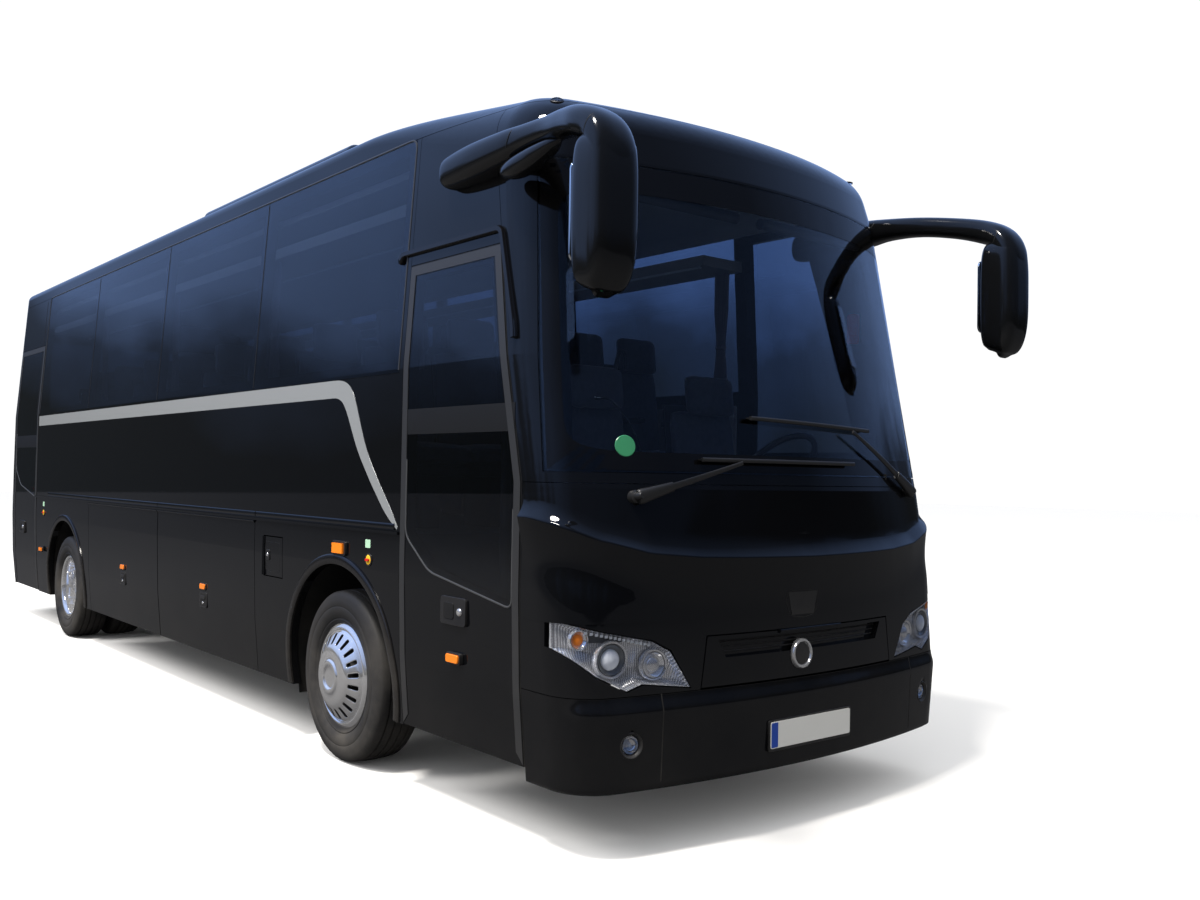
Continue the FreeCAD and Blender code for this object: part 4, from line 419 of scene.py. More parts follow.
NUT_ROWS = ((0.0165, 0.0), (0.0165, 0.012), (0.0135, 0.016), (0.0135, 0.030), (0.010, 0.036), (0.0, 0.038))
FRONT_TRIM = ((0, 0.175), (0.03, 0.175), (0.05, 0.175), (0.057, 0.177), (0.06, 0.185), (0.066, 0.187),
              (0.076, 0.187), (0.082, 0.185), (0.086, 0.1775), (0.1, 0.176), (0.125, 0.1745),
              (0.142, 0.1715), (0.152, 0.166), (0.162, 0.1595), (0.172, 0.153), (0.182, 0.147),
              (0.198, 0.1375), (0.214, 0.128), (0.222, 0.1184), (0.231, 0.1092), (0.235, 0.111),
              (0.238, 0.1176), (0.243, 0.1171), (0.252, 0.1104), (0.2585, 0.1057), (0.2635, 0.102),
              (0.265, 0.096))
REAR_TRIM = ((0.0, 0.043), (0.045, 0.043), (0.078, 0.042), (0.088, 0.036), (0.092, 0.010), (0.098, -0.020),
             (0.112, -0.026), (0.148, -0.028), (0.158, -0.034), (0.170, -0.046), (0.182, -0.050),
             (0.205, -0.052),
             (0.216, -0.046), (0.222, -0.020), (0.226, 0.040), (0.230, 0.080), (0.236, 0.096),
             (0.246, 0.1035),
             (0.2585, 0.1045), (0.2635, 0.102), (0.265, 0.096))
FRONT_WELL = ((0.09, 0.098), (0.09, 0.03), (0.150, 0.02), (0.236, 0.05), (0.2495, 0.096), (0.2495, -0.098),
              (0.236, -0.100))
REAR_WELL = ((0.082, -0.060), (0.2, -0.065), (0.236, -0.07), (0.2495, -0.098), (0.2495, -0.21),
             (0.2495, -0.40))
tyre_rubber = dusty_finish("tyre_rubber", (0.014, 0.014, 0.015), 0.55, 0.5, 1.0, 160.0, 0.35, specular=0.35)
chrome = dusty_finish("polished_chrome", (0.86, 0.86, 0.87), 0.06, 0.06, 0.9, 30.0, 0.01, metallic=0.85)
wheel_shadow = dusty_finish("wheel_shadow", (0.012, 0.012, 0.012), 0.6, 0.3, 0.9, 80.0, 0.1)
for side, label in SIDES:
    front_body, rear_body = "wheel_front_" + label, "wheel_rear_" + label
    front, rear, inner = ((FRONT_AXLE, side * TRACK, HUB_HIGH), (REAR_AXLE, side * TRACK, HUB_HIGH),
                          (REAR_AXLE, side * (TRACK - TWINS), HUB_HIGH))
    for name, place, body, stands_for in (
            (f"tyre_front_{label}_tread", front, front_body, "tyre_front_" + label),
            (f"tyre_rear_{label}_outer_tread", rear, rear_body, "tyres_rear_" + label),
            (f"tyre_rear_{label}_inner_tread", inner, rear_body, "tyres_rear_" + label)):
        polar_shell(name, tyre_line(), place, side, tyre_rubber, body, stands_for, 90,
                    wall=0.0)
    polar_shell("trim_front_" + label, FRONT_TRIM, front, side, chrome, front_body,
                "rim_front_" + label, 20, 6, range(13, 17), (2, 3), levels=1)
    polar_shell("well_front_" + label, FRONT_WELL, front, side, wheel_shadow, front_body)
    polar_shell("trim_rear_" + label, REAR_TRIM, rear, side, chrome, rear_body,
                "rim_rear_" + label, 8, 6, range(8, 11), (2, 3), levels=1)
    polar_shell("well_rear_" + label, REAR_WELL, rear, side, wheel_shadow, rear_body)
    wheel_nuts("nuts_rear_" + label, 0.130, -0.028, 10, rear, side, rear_body)


# ------------------------------------------------------------------ glazing
# Side and rear panes in dark tinted glass and a clearer windscreen. All let
# light through, and carry the faint uneven film that wiping leaves.
def pane_finish(name, tint, wiped):
    """Solid glass of one tint with the faint uneven film that wiping leaves."""
    material, tree, shader = new_material(name)
    film = place_group(tree, surface_ripple, Scale=1.4, Depth=0.0)["Height"]
    feed(tree, shader, {"Base Color": mixed(tree, film, (*tint, 1.0), (*wiped, 1.0)), "Roughness": 0.0,
                        "Transmission Weight": 1.0, "IOR": 1.5})
    return material


tinted_glass = pane_finish("tinted_glass", (0.20, 0.25, 0.33), (0.24, 0.29, 0.37))
screen_glass = pane_finish("screen_glass", (0.66, 0.76, 0.88), (0.72, 0.80, 0.90))
dress(tinted_glass, "side_glass_left", "side_glass_right", "rear_glass", "front_door_glass",
      "rear_door_glass")
dress(screen_glass, "windscreen")


# ------------------------------------------------------- trims on the sides
# Formed strips on the side walls: flared arch lips, aluminium window trims,
# rubber joints between the panes, and the rain gutter over the front door.
def cut_line(points, parts):
    """A line whose straight runs are each cut into as many parts as a function of their length says."""
    line = []
    for start, end in zip(points, points[1:]):
        count = max(1, parts(math.dist(start, end)))
        line.extend(tuple(a + (b - a) * k / count for a, b in zip(start, end)) for k in range(count))
    return line + [tuple(points[-1])]


def spread(low, high, count):
    """Numbers at even steps from one to another."""
    return [low + (high - low) * k / count for k in range(count + 1)]


def direction(points, k):
    """The way that a line runs at one of its points, as a unit vector."""
    return (Vector(points[min(k + 1, len(points) - 1)]) - Vector(points[max(k - 1, 0)])).normalized()


def rail_on_side(name, points, side, width, proud, material, body="root"):
    """A rounded rail of some width that follows a line of (x, z) on a side wall."""
    points = cut_line(points, lambda reach: math.ceil(reach / 0.08))
    profile = ((-0.5, -0.004), (-0.5, proud * 0.55), (-0.32, proud), (0.32, proud), (0.5, proud * 0.55),
               (0.5, -0.004))
    rings = []
    for k, (x, z) in enumerate(points):
        way = direction(points, k) * width
        rings.append([on_side(side, x - way.y * share, z + way.x * share, reach) for share, reach in profile])
    return make_piece(name, loft(rings, closed=False, capped=True), material, body, smooth=50.0)


def arc_line(x, z, radius, start, end, steps):
    """Points of (x, z) along an arc whose angles run from straight ahead upwards."""
    turns = spread(math.radians(start), math.radians(end), steps)
    return [(x + radius * math.cos(turn), z + radius * math.sin(turn)) for turn in turns]


def round_corners(points, radius):
    """A line of (x, z) whose inner corners are rounded in five steps."""
    line = [points[0]]
    for before, corner, after in zip(points, points[1:], points[2:]):
        here = Vector(corner)
        start = here + (Vector(before) - here).normalized() * radius
        end = here + (Vector(after) - here).normalized() * radius
        line.extend(tuple(start * (1 - t) ** 2 + here * 2 * t * (1 - t) + end * t ** 2)
                    for t in (0.0, 0.2, 0.4, 0.6, 0.8, 1.0))
    return line + [points[-1]]


WINDOW_FRONT, WINDOW_FOOT, PANE_PITCH = 3.165, 1.945, 1.71
dull_aluminium = dusty_finish("dull_aluminium", (0.036, 0.037, 0.040), 0.36, 0.20, 1.3, 120.0, 0.03,
                              metallic=0.3)
rubber_black = dusty_finish("rubber_black", (0.008, 0.008, 0.008), 0.55, 0.25, 1.2, 90.0, 0.12, specular=0.3)
lip_black = dusty_finish("lip_black", (0.004, 0.004, 0.005), 0.12, 0.35, 1.1, 30.0, 0.02)
for (side, label), rear in zip(SIDES, (-3.562, -4.45)):
    for axle, place in (("front", FRONT_AXLE), ("rear", REAR_AXLE)):
        rail_on_side(f"arch_lip_{axle}_{label}", arc_line(place, HUB_HIGH, 0.592, -12, 192, 48), side, 0.05,
                     0.011, lip_black)
    trim = round_corners([(rear, 1.955), (rear, 3.045), (WINDOW_FRONT, 3.045), (WINDOW_FRONT, WINDOW_FOOT)],
                         0.06)
    rail_on_side("window_trim_" + label, trim, side, 0.010, 0.003, dull_aluminium)
    for number in range(1, 5):
        seam = WINDOW_FRONT - PANE_PITCH * number
        rail_on_side(f"pane_joint_{label}_{number}", [(seam, WINDOW_FOOT), (seam, 3.02)], side, 0.009, 0.0012,
                     rubber_black)
gutter = round_corners([(3.112, 2.470), (3.120, 2.492), (3.945, 2.492), (4.085, 2.07), (4.092, 2.02)], 0.035)
rail_on_side("rain_gutter", gutter, -1, 0.030, 0.018, lip_black)


# -------------------------------------------------------------------- doors
# Outward plug doors: an aluminium frame strip along their edges, glass over
# most of the leaf, a lock in a black case, and rubber in the gap all round.
def door_edge(rear, front, top, lean, knee, inset):
    """A door leaf's outline from its rear foot up, over and down its leaning front, drawn in."""
    slope = lean / (top - knee)
    high, foot = top - inset, DOOR_FOOT + inset
    return [(rear + inset, foot), (rear + inset, high), (front - inset - slope * (high - knee), high),
            (front - inset, knee), (front - inset, foot)]


def turned_piece(name, rows, place, axis, count, material, body="root"):
    """A piece from (radius, along) rows turned about an axis through a place."""
    return make_piece(name, loft(turned_rings(rows, place, axis, count)), material, body, smooth=40.0)


def rounded_plate(name, low, high, axis, round_by, material, body="root", bevel=0.002):
    """A flat block with rounded corners seen along an axis (0, 1 or 2)."""
    a, b = [k for k in range(3) if k != axis]
    rings = []
    for level in (low[axis], high[axis]):
        ring = []
        for ca, cb, start in ((high[a], high[b], 0), (low[a], high[b], 90), (low[a], low[b], 180),
                              (high[a], low[b], 270)):
            for step in range(5):
                turn = math.radians(start + 22.5 * step)
                point = [level] * 3
                point[a] = ca + round_by * (math.cos(turn) - (1 if ca == high[a] else -1))
                point[b] = cb + round_by * (math.sin(turn) - (1 if cb == high[b] else -1))
                ring.append(point)
        rings.append(ring)
    return make_piece(name, loft(rings, capped=True), material, body, bevel)


DOOR_FOOT = 0.311
LOCK_BARREL = ((0.0, 0.010), (0.012, 0.010), (0.016, 0.007), (0.018, 0.0))
amber_lens = dusty_finish("amber_lens", (0.95, 0.24, 0.01), 0.10, 0.10, 1.3, 260.0, 0.35, coat=0.6)
black_plastic = dusty_finish("black_plastic", (0.010, 0.010, 0.011), 0.40, 0.25, 1.3, 300.0, 0.10)
steel_bright = dusty_finish("steel_bright", (0.66, 0.66, 0.67), 0.20, 0.1, 1.2, 90.0, 0.03, metallic=0.75)
seal_grey = dusty_finish("seal_grey", (0.05, 0.052, 0.055), 0.45, 0.20, 1.3, 120.0, 0.05)
for door, rear, front, top, lean, knee, foot, lock_x in (
        ("front_door", 3.205, 4.165, 2.430, 0.220, 1.440, 0.929, 3.685),
        ("rear_door", -4.485, -3.585, 2.600, 0.0, 1.440, 1.179, -4.105)):
    strip = [cut_line(door_edge(rear, front, top, lean, knee, inset), lambda reach: 14)
             for inset in (0.008, 0.052)]
    band_on_side(door + "_frame_strip", *strip, -1, 0.003, dull_aluminium, door, 0.001)
    near, far = rear + 0.055, front - 0.055
    pane = [(near, foot + 0.60), (near, foot + 0.252), (rear + 0.265, foot + 0.103), (far, foot),
            (far, foot + 0.40)]
    rail_on_side(door + "_glass_seal", round_corners(pane, 0.05), -1, 0.009, 0.003, seal_grey, door)
    bar = [(x, 1.700) for x in spread(near, far, 8)]
    rail_on_side(door + "_cross_bar", bar, -1, 0.115, 0.002, rubber_black, door)
    rail_on_side(door + "_edge_rubber", door_edge(rear, front, top, lean, knee, 0.003), -1, 0.0055, -0.002,
                 rubber_black, door)
    rounded_plate(door + "_lock_case", (lock_x - 0.10, -1.2075, 0.82), (lock_x + 0.10, -1.194, 0.94), 1,
                  0.018, black_plastic, door)
    rounded_plate(door + "_lock_grip", (lock_x - 0.07, -1.2105, 0.845), (lock_x + 0.01, -1.205, 0.915), 1,
                  0.012, rubber_black, door)
    turned_piece(door + "_lock_barrel", LOCK_BARREL, (lock_x + 0.055, -1.2055, 0.88), (0, -1, 0), 24,
                 steel_bright, door)
rounded_plate("front_door_marker_base", (3.64, -1.2085, 0.655), (3.75, -1.190, 0.705), 1, 0.012,
              black_plastic, "front_door")
rounded_plate("front_door_marker", (3.648, -1.2165, 0.662), (3.742, -1.2055, 0.698), 1, 0.010, amber_lens,
              "front_door", 0.003)


# -------------------------------------------------------------- front panel
# The skin of the nose: one formed panel under the windscreen whose raised
# lip droops from both corners to the middle, over the slot with its badge.
def surface_of(*things):
    """A tree for finding where lines meet the outer skin of some nodes or pieces."""
    corners, faces = [], []
    for thing in things:
        thing = cad.get(thing, thing)
        start = len(corners)
        corners.extend(thing.matrix_world @ vertex.co for vertex in thing.data.vertices)
        faces.extend([start + k for k in face.vertices] for face in thing.data.polygons)
    return BVHTree.FromPolygons(corners, faces)


def hit(tree, start, way):
    """Where a line from a place first meets a surface."""
    return tree.ray_cast(Vector(start), Vector(way))[0]


def skin_point(tree, turn, z, proud=0.0):
    """Where a level line at some angle about the nose's upright axis meets the skin, moved outward."""
    way = Vector((math.cos(math.radians(turn)), math.sin(math.radians(turn)), 0.0))
    place, normal = tree.ray_cast(NOSE_AXIS + way * 3.0 + Vector((0, 0, z)), -way)[:2]
    return place + normal * math.copysign(proud, normal.dot(way))


def crest_height(place, z):
    """How far the nose panel stands out at a place: a lip with a ledge over it and a long fall below."""
    above = z - along_table(CREST, abs(place.y))
    fall, power = (0.062, 1.5) if above > 0 else (0.190, 1.7)
    return 0.0018 + 0.030 * max(0.0, 1.0 - abs(above) / fall) ** power


def skin_sheet(name, turns, rows, height):
    """A formed sheet over the nose: a grid of angles and levels, each lifted by a height function."""
    grid = [[skin_point(nose_skin, turn, z, height(skin_point(nose_skin, turn, z), z)) for z in rows(turn)]
            for turn in turns]
    return make_piece(name, loft(grid, closed=False), black_paint, smooth=55.0)


def crest_rows(turn):
    """Levels of the nose panel at an angle, closest together round the lip."""
    edge = along_table(CREST, abs(skin_point(nose_skin, turn, 1.2).y))
    below = [0.905 + (edge - 0.905) * (1 - (1 - k / 14) ** 1.7) for k in range(14)]
    ledge = [edge + step for step in (0.0, 0.005, 0.012, 0.021, 0.032, 0.045)]
    return below + ledge + spread(edge + 0.060, max(1.415, edge + 0.064), 6)


def bumper_height(place, z):
    """How far the bumper's face stands out: a sloping shelf at its top, turned in at its ends and foot."""
    shelf, foot, end = (min(1.0, max(0.0, share)) for share in (
        (0.630 - z) / 0.075, (z - 0.259) / 0.012, (1.178 - abs(place.y)) / 0.05))
    return 0.0010 + 0.017 * shelf * shelf * (3 - 2 * shelf) * foot * end


def open_round(thing, middle, radius):
    """A round hole through a formed sheet about a place across and up."""
    mesh = bmesh.new()
    mesh.from_mesh(thing.data)
    inside = set()
    for vertex in mesh.verts:
        away = vertex.co.yz - middle
        if away.length < radius:
            inside.add(vertex)
            if away.length > radius * 0.3:
                vertex.co.yz = middle + away.normalized() * radius
    gone = [face for face in mesh.faces if inside.issuperset(face.verts)]
    bmesh.ops.delete(mesh, geom=gone, context="FACES")
    mesh.to_mesh(thing.data)
    mesh.free()


NOSE_AXIS = Vector((3.35, 0.0, 0.0))
CREST = ((0.0, 1.140), (0.4, 1.145), (0.62, 1.150), (0.85, 1.168), (1.05, 1.218), (1.155, 1.275),
         (1.30, 1.37))
BUMPER_ROWS = [0.259, 0.262, 0.266] + spread(0.271, 0.550, 18) + spread(0.550, 0.623, 8)[1:]
FOG_Y, FOG_Z = 0.942, 0.443
nose_skin = surface_of("front_mask", "front_lid", "bumpers", "front_lamps")
nose_panel = skin_sheet("nose_panel", spread(-55.3, 55.3, 116), crest_rows, crest_height)
bumper_face = skin_sheet("bumper_face", spread(-53.5, 53.5, 220), lambda turn: BUMPER_ROWS, bumper_height)
for side in (-1, 1):
    open_round(bumper_face, Vector((side * FOG_Y, FOG_Z)), 0.047)


# ------------------------------------------------------- windscreen's print
# The black ceramic print round the windscreen that hides the glue line:
# wide at the top as a sun band, and with rounded inner corners.
def print_line(turn):
    """Points across the print at an angle round the windscreen, from its edge to its inner outline."""
    across, up = math.cos(turn), math.sin(turn)
    square = 1.0 / max(abs(across), abs(up))
    soft = (abs(across) ** 14 + abs(up) ** 14) ** (-1 / 14)
    ends = ((across * square, 2.126 + up * square * 0.634), (across * soft * 0.945,
                                                             2.1025 + up * soft * 0.5375))
    return [skin_point(screen_skin, share * (51.3 + 3.5 * (z - 1.5)), z, 0.0010)
            for share, z in cut_line(ends, lambda reach: 5)]


screen_skin = surface_of("windscreen")
print_black = dusty_finish("print_black", (0.0025, 0.0025, 0.0028), 0.03, 0.03, 1.2, 9.0, 0.003)
make_piece("windscreen_print", loft([print_line(2 * math.pi * k / 240) for k in range(240)], closed=False,
                                    looped=True),
           print_black, smooth=60.0)


# --------------------------------------------------------------- headlamps
# Clear moulded lenses over bright bowls: a round projector, a reflector, a
# turn lamp at the corner and a light strip; fog lamps sit in dark barrels.
def lamp_face(side, y, z, back):
    """A point behind the lens's outer face, straight back along the body."""
    place = hit(lamp_skin, (5.2, side * y, z), (-1, 0, 0))
    if place is None:
        place = lamp_skin.find_nearest(Vector((4.45, side * y, z)))[0]
    return Vector((place.x - back, side * y, z))


def lamp_sheet(name, side, rings, material):
    """A sheet over a lamp's outline: rings of (share out from the middle, depth), closed at the middle."""
    edge = cut_line(LAMP_EDGE + LAMP_EDGE[:1], lambda reach: round(reach / 0.012))[:-1]
    mid_y, mid_z = (sum(values) / len(edge) for values in zip(*edge))
    grid = [[lamp_face(side, mid_y + (y - mid_y) * share, mid_z + (z - mid_z) * share, back) for y, z in edge]
            for share, back in rings]
    centre = sum(grid[-1], Vector((0, 0, 0))) / len(edge)
    return make_piece(name, loft(grid + [[centre] * len(edge)]), material, smooth=40.0)


def add_block(mesh, middle, size):
    """The vertices of a block of some size added to a mesh under construction."""
    matrix = Matrix.Translation(middle) @ Matrix.Diagonal((*size, 1.0))
    return bmesh.ops.create_cube(mesh, size=1.0, matrix=matrix)["verts"]


def clear_lens_finish():
    """Clear plastic with the faintest haze, thin enough to be one sheet."""
    material, tree, shader = new_material("clear_lens")
    film = place_group(tree, surface_ripple, Scale=8.0, Depth=0.0)["Height"]
    feed(tree, shader, {"Roughness": stretched(tree, film, 0.0, 1.0, 0.0, 0.03), "IOR": 1.10,
                        "Base Color": (0.97, 0.98, 1.0, 1.0), "Transmission Weight": 1.0})
    return material


def fluted_chrome_finish():
    """Vacuum-coated plastic with fine upright flutes, its colour painted near white on their crests and dark
    grey in their troughs as painted highlight and shade.
    """
    material, tree, shader = new_material("fluted_chrome")
    flute_relief_and_painted_shade = add_node(tree, "TexWave", {"Scale": 38.0, "Vector": located(tree)},
                      bands_direction="Y").outputs["Fac"]
    bump = add_node(tree, "Bump", {"Strength": 0.35, "Distance": 0.004, "Height": flute_relief_and_painted_shade})
    # painted highlight and shade: the colour runs from dark grey in the flutes' troughs to near white on
    # their crests
    feed(tree, shader, {"Base Color": mixed(tree, flute_relief_and_painted_shade, (0.36, 0.37, 0.40, 1.0), (0.90, 0.91, 0.93, 1.0)),
                        "Normal": bump.outputs["Normal"], "Metallic": 0.78, "Roughness": 0.10})
    return material


LAMP_EDGE = [(0.669, 0.642), (0.891, 0.670), (0.960, 0.647), (1.083, 0.711), (1.166, 0.787), (1.189, 0.811),
             (1.189, 0.911), (1.057, 0.874), (0.844, 0.830), (0.762, 0.787)]
# radii as shares of the round lamp's own, and depths in metres
LAMP_RING = ((0.80, 0.000), (1.0, 0.000), (1.02, 0.012), (0.96, 0.022), (0.86, 0.020), (0.80, 0.006),
             (0.66, 0.002),
             (0.60, 0.000))
LAMP_BOWL = ((0.0, 0.001), (0.3, 0.002), (0.62, 0.008), (0.80, 0.018))
clear_lens = clear_lens_finish()
fluted_chrome = fluted_chrome_finish()
lamp_grey = dusty_finish("lamp_grey", (0.16, 0.17, 0.18), 0.25, 0.05, 1.2, 90.0, 0.05, metallic=0.6)
glow_white = dusty_finish("glow_white", (0.80, 0.84, 0.90), 0.15, 0.02, 1.2, 200.0, 0.05)
lamp_skin = surface_of("front_lamps")
for side, label in SIDES:
    lens = lamp_sheet("headlamp_lens_" + label, side, [(share, 0.0) for share in (1.0, 0.9, 0.7, 0.45, 0.2)],
                      clear_lens)
    lens.visible_shadow = False
    if side < 0:
        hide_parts("front_lamps")
    lamp_sheet("headlamp_bowl_" + label, side, ((0.995, 0.003), (0.97, 0.012), (0.95, 0.030), (0.90, 0.036),
                                                (0.80, 0.052), (0.55, 0.056), (0.2, 0.056)), fluted_chrome)
    for part, y, z, wide, turn, ring, bowl, glass in (
            ("projector", 1.000, 0.765, 0.074, 0.12, steel_bright, lamp_grey, glow_white),
            ("reflector", 0.815, 0.735, 0.062, 0.12, chrome, chrome, steel_bright),
            ("turn_lamp", 1.112, 0.842, 0.040, 0.25, chrome, chrome, amber_lens)):
        spot, out = lamp_face(side, y, z, 0.050), (1.0, side * turn, 0.0)
        dome = [(0.56 * math.cos(math.radians(a)), 0.004 + wide * 0.34 * math.sin(math.radians(a)))
                for a in range(0, 90, 10)] + [(0.0, 0.004 + wide * 0.34)]
        for name, rows, count, material in (("ring", LAMP_RING, 48, ring), ("bowl", LAMP_BOWL, 48, bowl),
                                            ("glass", dome, 40, glass)):
            turned_piece(f"headlamp_{part}_{name}_{label}", [(wide * share, along) for share, along in rows],
                         spot, out, count, material)
    strip = bmesh.new()
    for y, z in cut_line([(0.84, 0.815), (1.095, 0.870)], lambda reach: 14):
        add_block(strip, lamp_face(side, y, z, 0.030), (0.006, 0.013, 0.011))
    make_piece("headlamp_strip_" + label, strip, glow_white, bevel=0.0015)
    for name, rows, count, material in (
            ("rim", ((0.051, -0.030), (0.052, 0.002), (0.048, 0.006), (0.042, 0.002), (0.036, -0.010),
                     (0.036, -0.030)),
             48, black_plastic),
            ("bowl", ((0.0, -0.028), (0.018, -0.026), (0.030, -0.016), (0.034, -0.006)), 48, chrome),
            ("bulb", ((0.0, -0.008), (0.007, -0.010), (0.009, -0.018), (0.009, -0.027)), 24, glow_white),
            ("glass", ((0.0, 0.000), (0.016, -0.001), (0.034, -0.004)), 48, clear_lens)):
        turned_piece(f"fog_{name}_{label}", rows, lamp_face(side, FOG_Y, FOG_Z, -0.014),
                     (1.0, side * 0.18, 0.0), count, material)


# ----------------------------------------------------------- front fittings
# The blank number plate in its holder, a plain badge ring in the slot, the
# cover of the towing eye, panel seams, and three bars in the slot.
def front_place(tree, y, z, proud=0.0):
    """A point of the front surface straight ahead of a place across and up."""
    return Vector((hit(tree, (5.6, y, z), (-1, 0, 0)).x + proud, y, z))


def front_strip(name, points, width, proud, material, tree, body="root"):
    """A low rounded strip along a line of (y, z) on the front surface."""
    profile = ((-0.5, -0.002), (-0.42, proud * 0.7), (0.0, proud), (0.42, proud * 0.7), (0.5, -0.002))
    rings = []
    for k, (y, z) in enumerate(points):
        way = direction(points, k) * width
        rings.append([front_place(tree, y - way.y * share, z + way.x * share, reach) for share,
                      reach in profile])
    make_piece(name, loft(rings, closed=False), material, body, smooth=60.0)


PLATE_LOW, PLATE_HIGH, PLATE_HALF = 0.351, 0.461, 0.260
BADGE_RING = ((0.0, 0.006), (0.049, 0.006), (0.052, 0.013), (0.060, 0.013), (0.064, 0.006), (0.064, -0.004))
front_skin = surface_of("front_mask", "front_lid", "bumpers", "windscreen", nose_panel, bumper_face)
lid_skin = surface_of("front_lid")
tail_body_skin = surface_of("engine_lid", "rear_body", "bumpers")
plate_white = dusty_finish("plate_white", (0.62, 0.62, 0.60), 0.30, 0.08, 1.2, 300.0, 0.03)
plate_blue = dusty_finish("plate_blue", (0.01, 0.05, 0.32), 0.30, 0.08, 1.2, 300.0, 0.03)
plate_x = front_place(front_skin, 0.0, 0.406).x
rounded_plate("plate_holder", (plate_x - 0.006, -0.268, 0.338), (plate_x + 0.004, 0.268, 0.468), 0, 0.010,
              black_plastic)
plate = rounded_plate("front_plate", (plate_x + 0.0035, -PLATE_HALF, PLATE_LOW),
                      (plate_x + 0.0065, PLATE_HALF, PLATE_HIGH),
                      0, 0.008, plate_white, bevel=0.001)
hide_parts("number_plates")
rounded_plate("front_plate_band", (plate_x + 0.006, -0.256, 0.355), (plate_x + 0.0074, -0.216, 0.457), 0,
              0.004, plate_blue, bevel=0.0004)
badge = front_place(lid_skin, -0.058, 0.728)
turned_piece("badge_ring", BADGE_RING, badge, (1, 0, 0.05), 56, steel_bright, "front_lid")
turned_piece("badge_disc", ((0.0, 0.0095), (0.034, 0.0090), (0.048, 0.0065)), badge, (1, 0, 0.05), 56,
             black_plastic, "front_lid")
tail_x = hit(tail_body_skin, (-5.6, 0.0, 0.406), (1, 0, 0)).x
rounded_plate("rear_plate", (tail_x - 0.006, -PLATE_HALF, PLATE_LOW),
              (tail_x - 0.002, PLATE_HALF, PLATE_HIGH), 0, 0.008, plate_white, bevel=0.001)
cover_edge = [(0.042, 0.991), (0.020, 0.894), (-0.120, 0.894), (-0.145, 0.991), (0.042, 0.991)]
front_strip("cover_seam", even_line(cover_edge, 60), 0.005, 0.0010, rubber_black, front_skin)
cover = [[front_place(front_skin, y, z, 0.0007) for y in spread(low, high, 12)]
         for z, low, high in zip(spread(0.894, 0.991, 8), spread(-0.120, -0.145, 8), spread(0.020, 0.042, 8))]
make_piece("tow_cover", loft(cover, closed=False), black_plastic, smooth=60.0)
for side, label in SIDES:
    seam = [(side * 0.806, z) for z in spread(0.262, 0.628, 12)]
    front_strip("bumper_seam_" + label, seam, 0.006, 0.0010, rubber_black, front_skin)
for number in range(3):
    half = 0.505 * (0.98 + 0.02 * number)
    front_strip(f"slot_bar_{number + 1}", [(y, 0.765 + 0.020 * number) for y in spread(-half, half, 40)],
                0.007, 0.006, black_plastic, lid_skin, "front_lid")


# ------------------------------------------------------------------ mirrors
# Large moulded mirrors: a fairing on the roof's corner, a flattened arm that
# droops over the front of a rounded head, and a kerb mirror's fairing by the door.
def swept_form(name, stations, across, count, steps, exponent, material):
    """A smooth form through (x, y, z, half width, half thickness) stations, its rings softly squared."""
    line = even_line(stations, steps)
    places = [station[:3] for station in line]
    rings = []
    for k, (place, (wide, thick)) in enumerate(zip(places, (station[3:] for station in line))):
        way = direction(places, k)
        out = (across - way * across.dot(way)).normalized()
        up = way.cross(out)
        ring = []
        for point in range(count):
            c, d = math.cos(2 * math.pi * point / count), math.sin(2 * math.pi * point / count)
            soft = (abs(c) ** exponent + abs(d) ** exponent) ** (-1.0 / exponent)
            ring.append(Vector(place) + out * (wide * c * soft) + up * (thick * d * soft))
        rings.append(ring)
    return make_piece(name, loft(rings, capped=True), material, smooth=50.0)


ACROSS = Vector((0.0, 1.0, 0.0))
MIRROR_ARM = ((3.533, 1.160, 2.790, 0.030, 0.030), (3.54, 1.163, 2.790, 0.058, 0.058),
              (3.58, 1.166, 2.790, 0.074, 0.074), (3.78, 1.172, 2.796, 0.082, 0.080),
              (4.02, 1.176, 2.806, 0.076, 0.070), (4.16, 1.186, 2.810, 0.064, 0.057),
              (4.34, 1.215, 2.800, 0.056, 0.050), (4.52, 1.265, 2.772, 0.062, 0.052),
              (4.66, 1.297, 2.735, 0.078, 0.058), (4.755, 1.300, 2.690, 0.090, 0.058),
              (4.803, 1.300, 2.620, 0.094, 0.052), (4.812, 1.300, 2.540, 0.090, 0.044),
              (4.808, 1.300, 2.480, 0.070, 0.034), (4.802, 1.300, 2.455, 0.020, 0.012))
MIRROR_HEAD = ((4.770, 1.298, 2.663, 0.045, 0.030), (4.768, 1.298, 2.655, 0.075, 0.062),
               (4.766, 1.298, 2.625, 0.094, 0.084), (4.766, 1.298, 2.540, 0.101, 0.094),
               (4.766, 1.298, 2.400, 0.102, 0.096), (4.766, 1.298, 2.280, 0.101, 0.094),
               (4.762, 1.298, 2.200, 0.096, 0.086), (4.756, 1.298, 2.145, 0.084, 0.070),
               (4.750, 1.298, 2.120, 0.058, 0.046), (4.748, 1.298, 2.116, 0.032, 0.024))
MIRROR_JOINTS = ((4.09, 1.18, 2.808, 0.0715, 0.0645), (4.765, 1.30, 2.68, 0.092, 0.0595))
KERB_FAIRING = ((4.022, -1.222, 2.700, 0.006, 0.006), (4.05, -1.225, 2.692, 0.030, 0.028),
                (4.14, -1.230, 2.690, 0.048, 0.044), (4.26, -1.232, 2.705, 0.050, 0.042),
                (4.37, -1.234, 2.728, 0.034, 0.026), (4.425, -1.235, 2.742, 0.006, 0.005))
mirror_black = dusty_finish("mirror_black", (0.0045, 0.0048, 0.0055), 0.11, 0.10, 1.0, 160.0, 0.02)
mirror_glass = dusty_finish("mirror_glass", (0.78, 0.81, 0.84), 0.02, 0.02, 1.0, 3.0, 0.0, metallic=1.0)
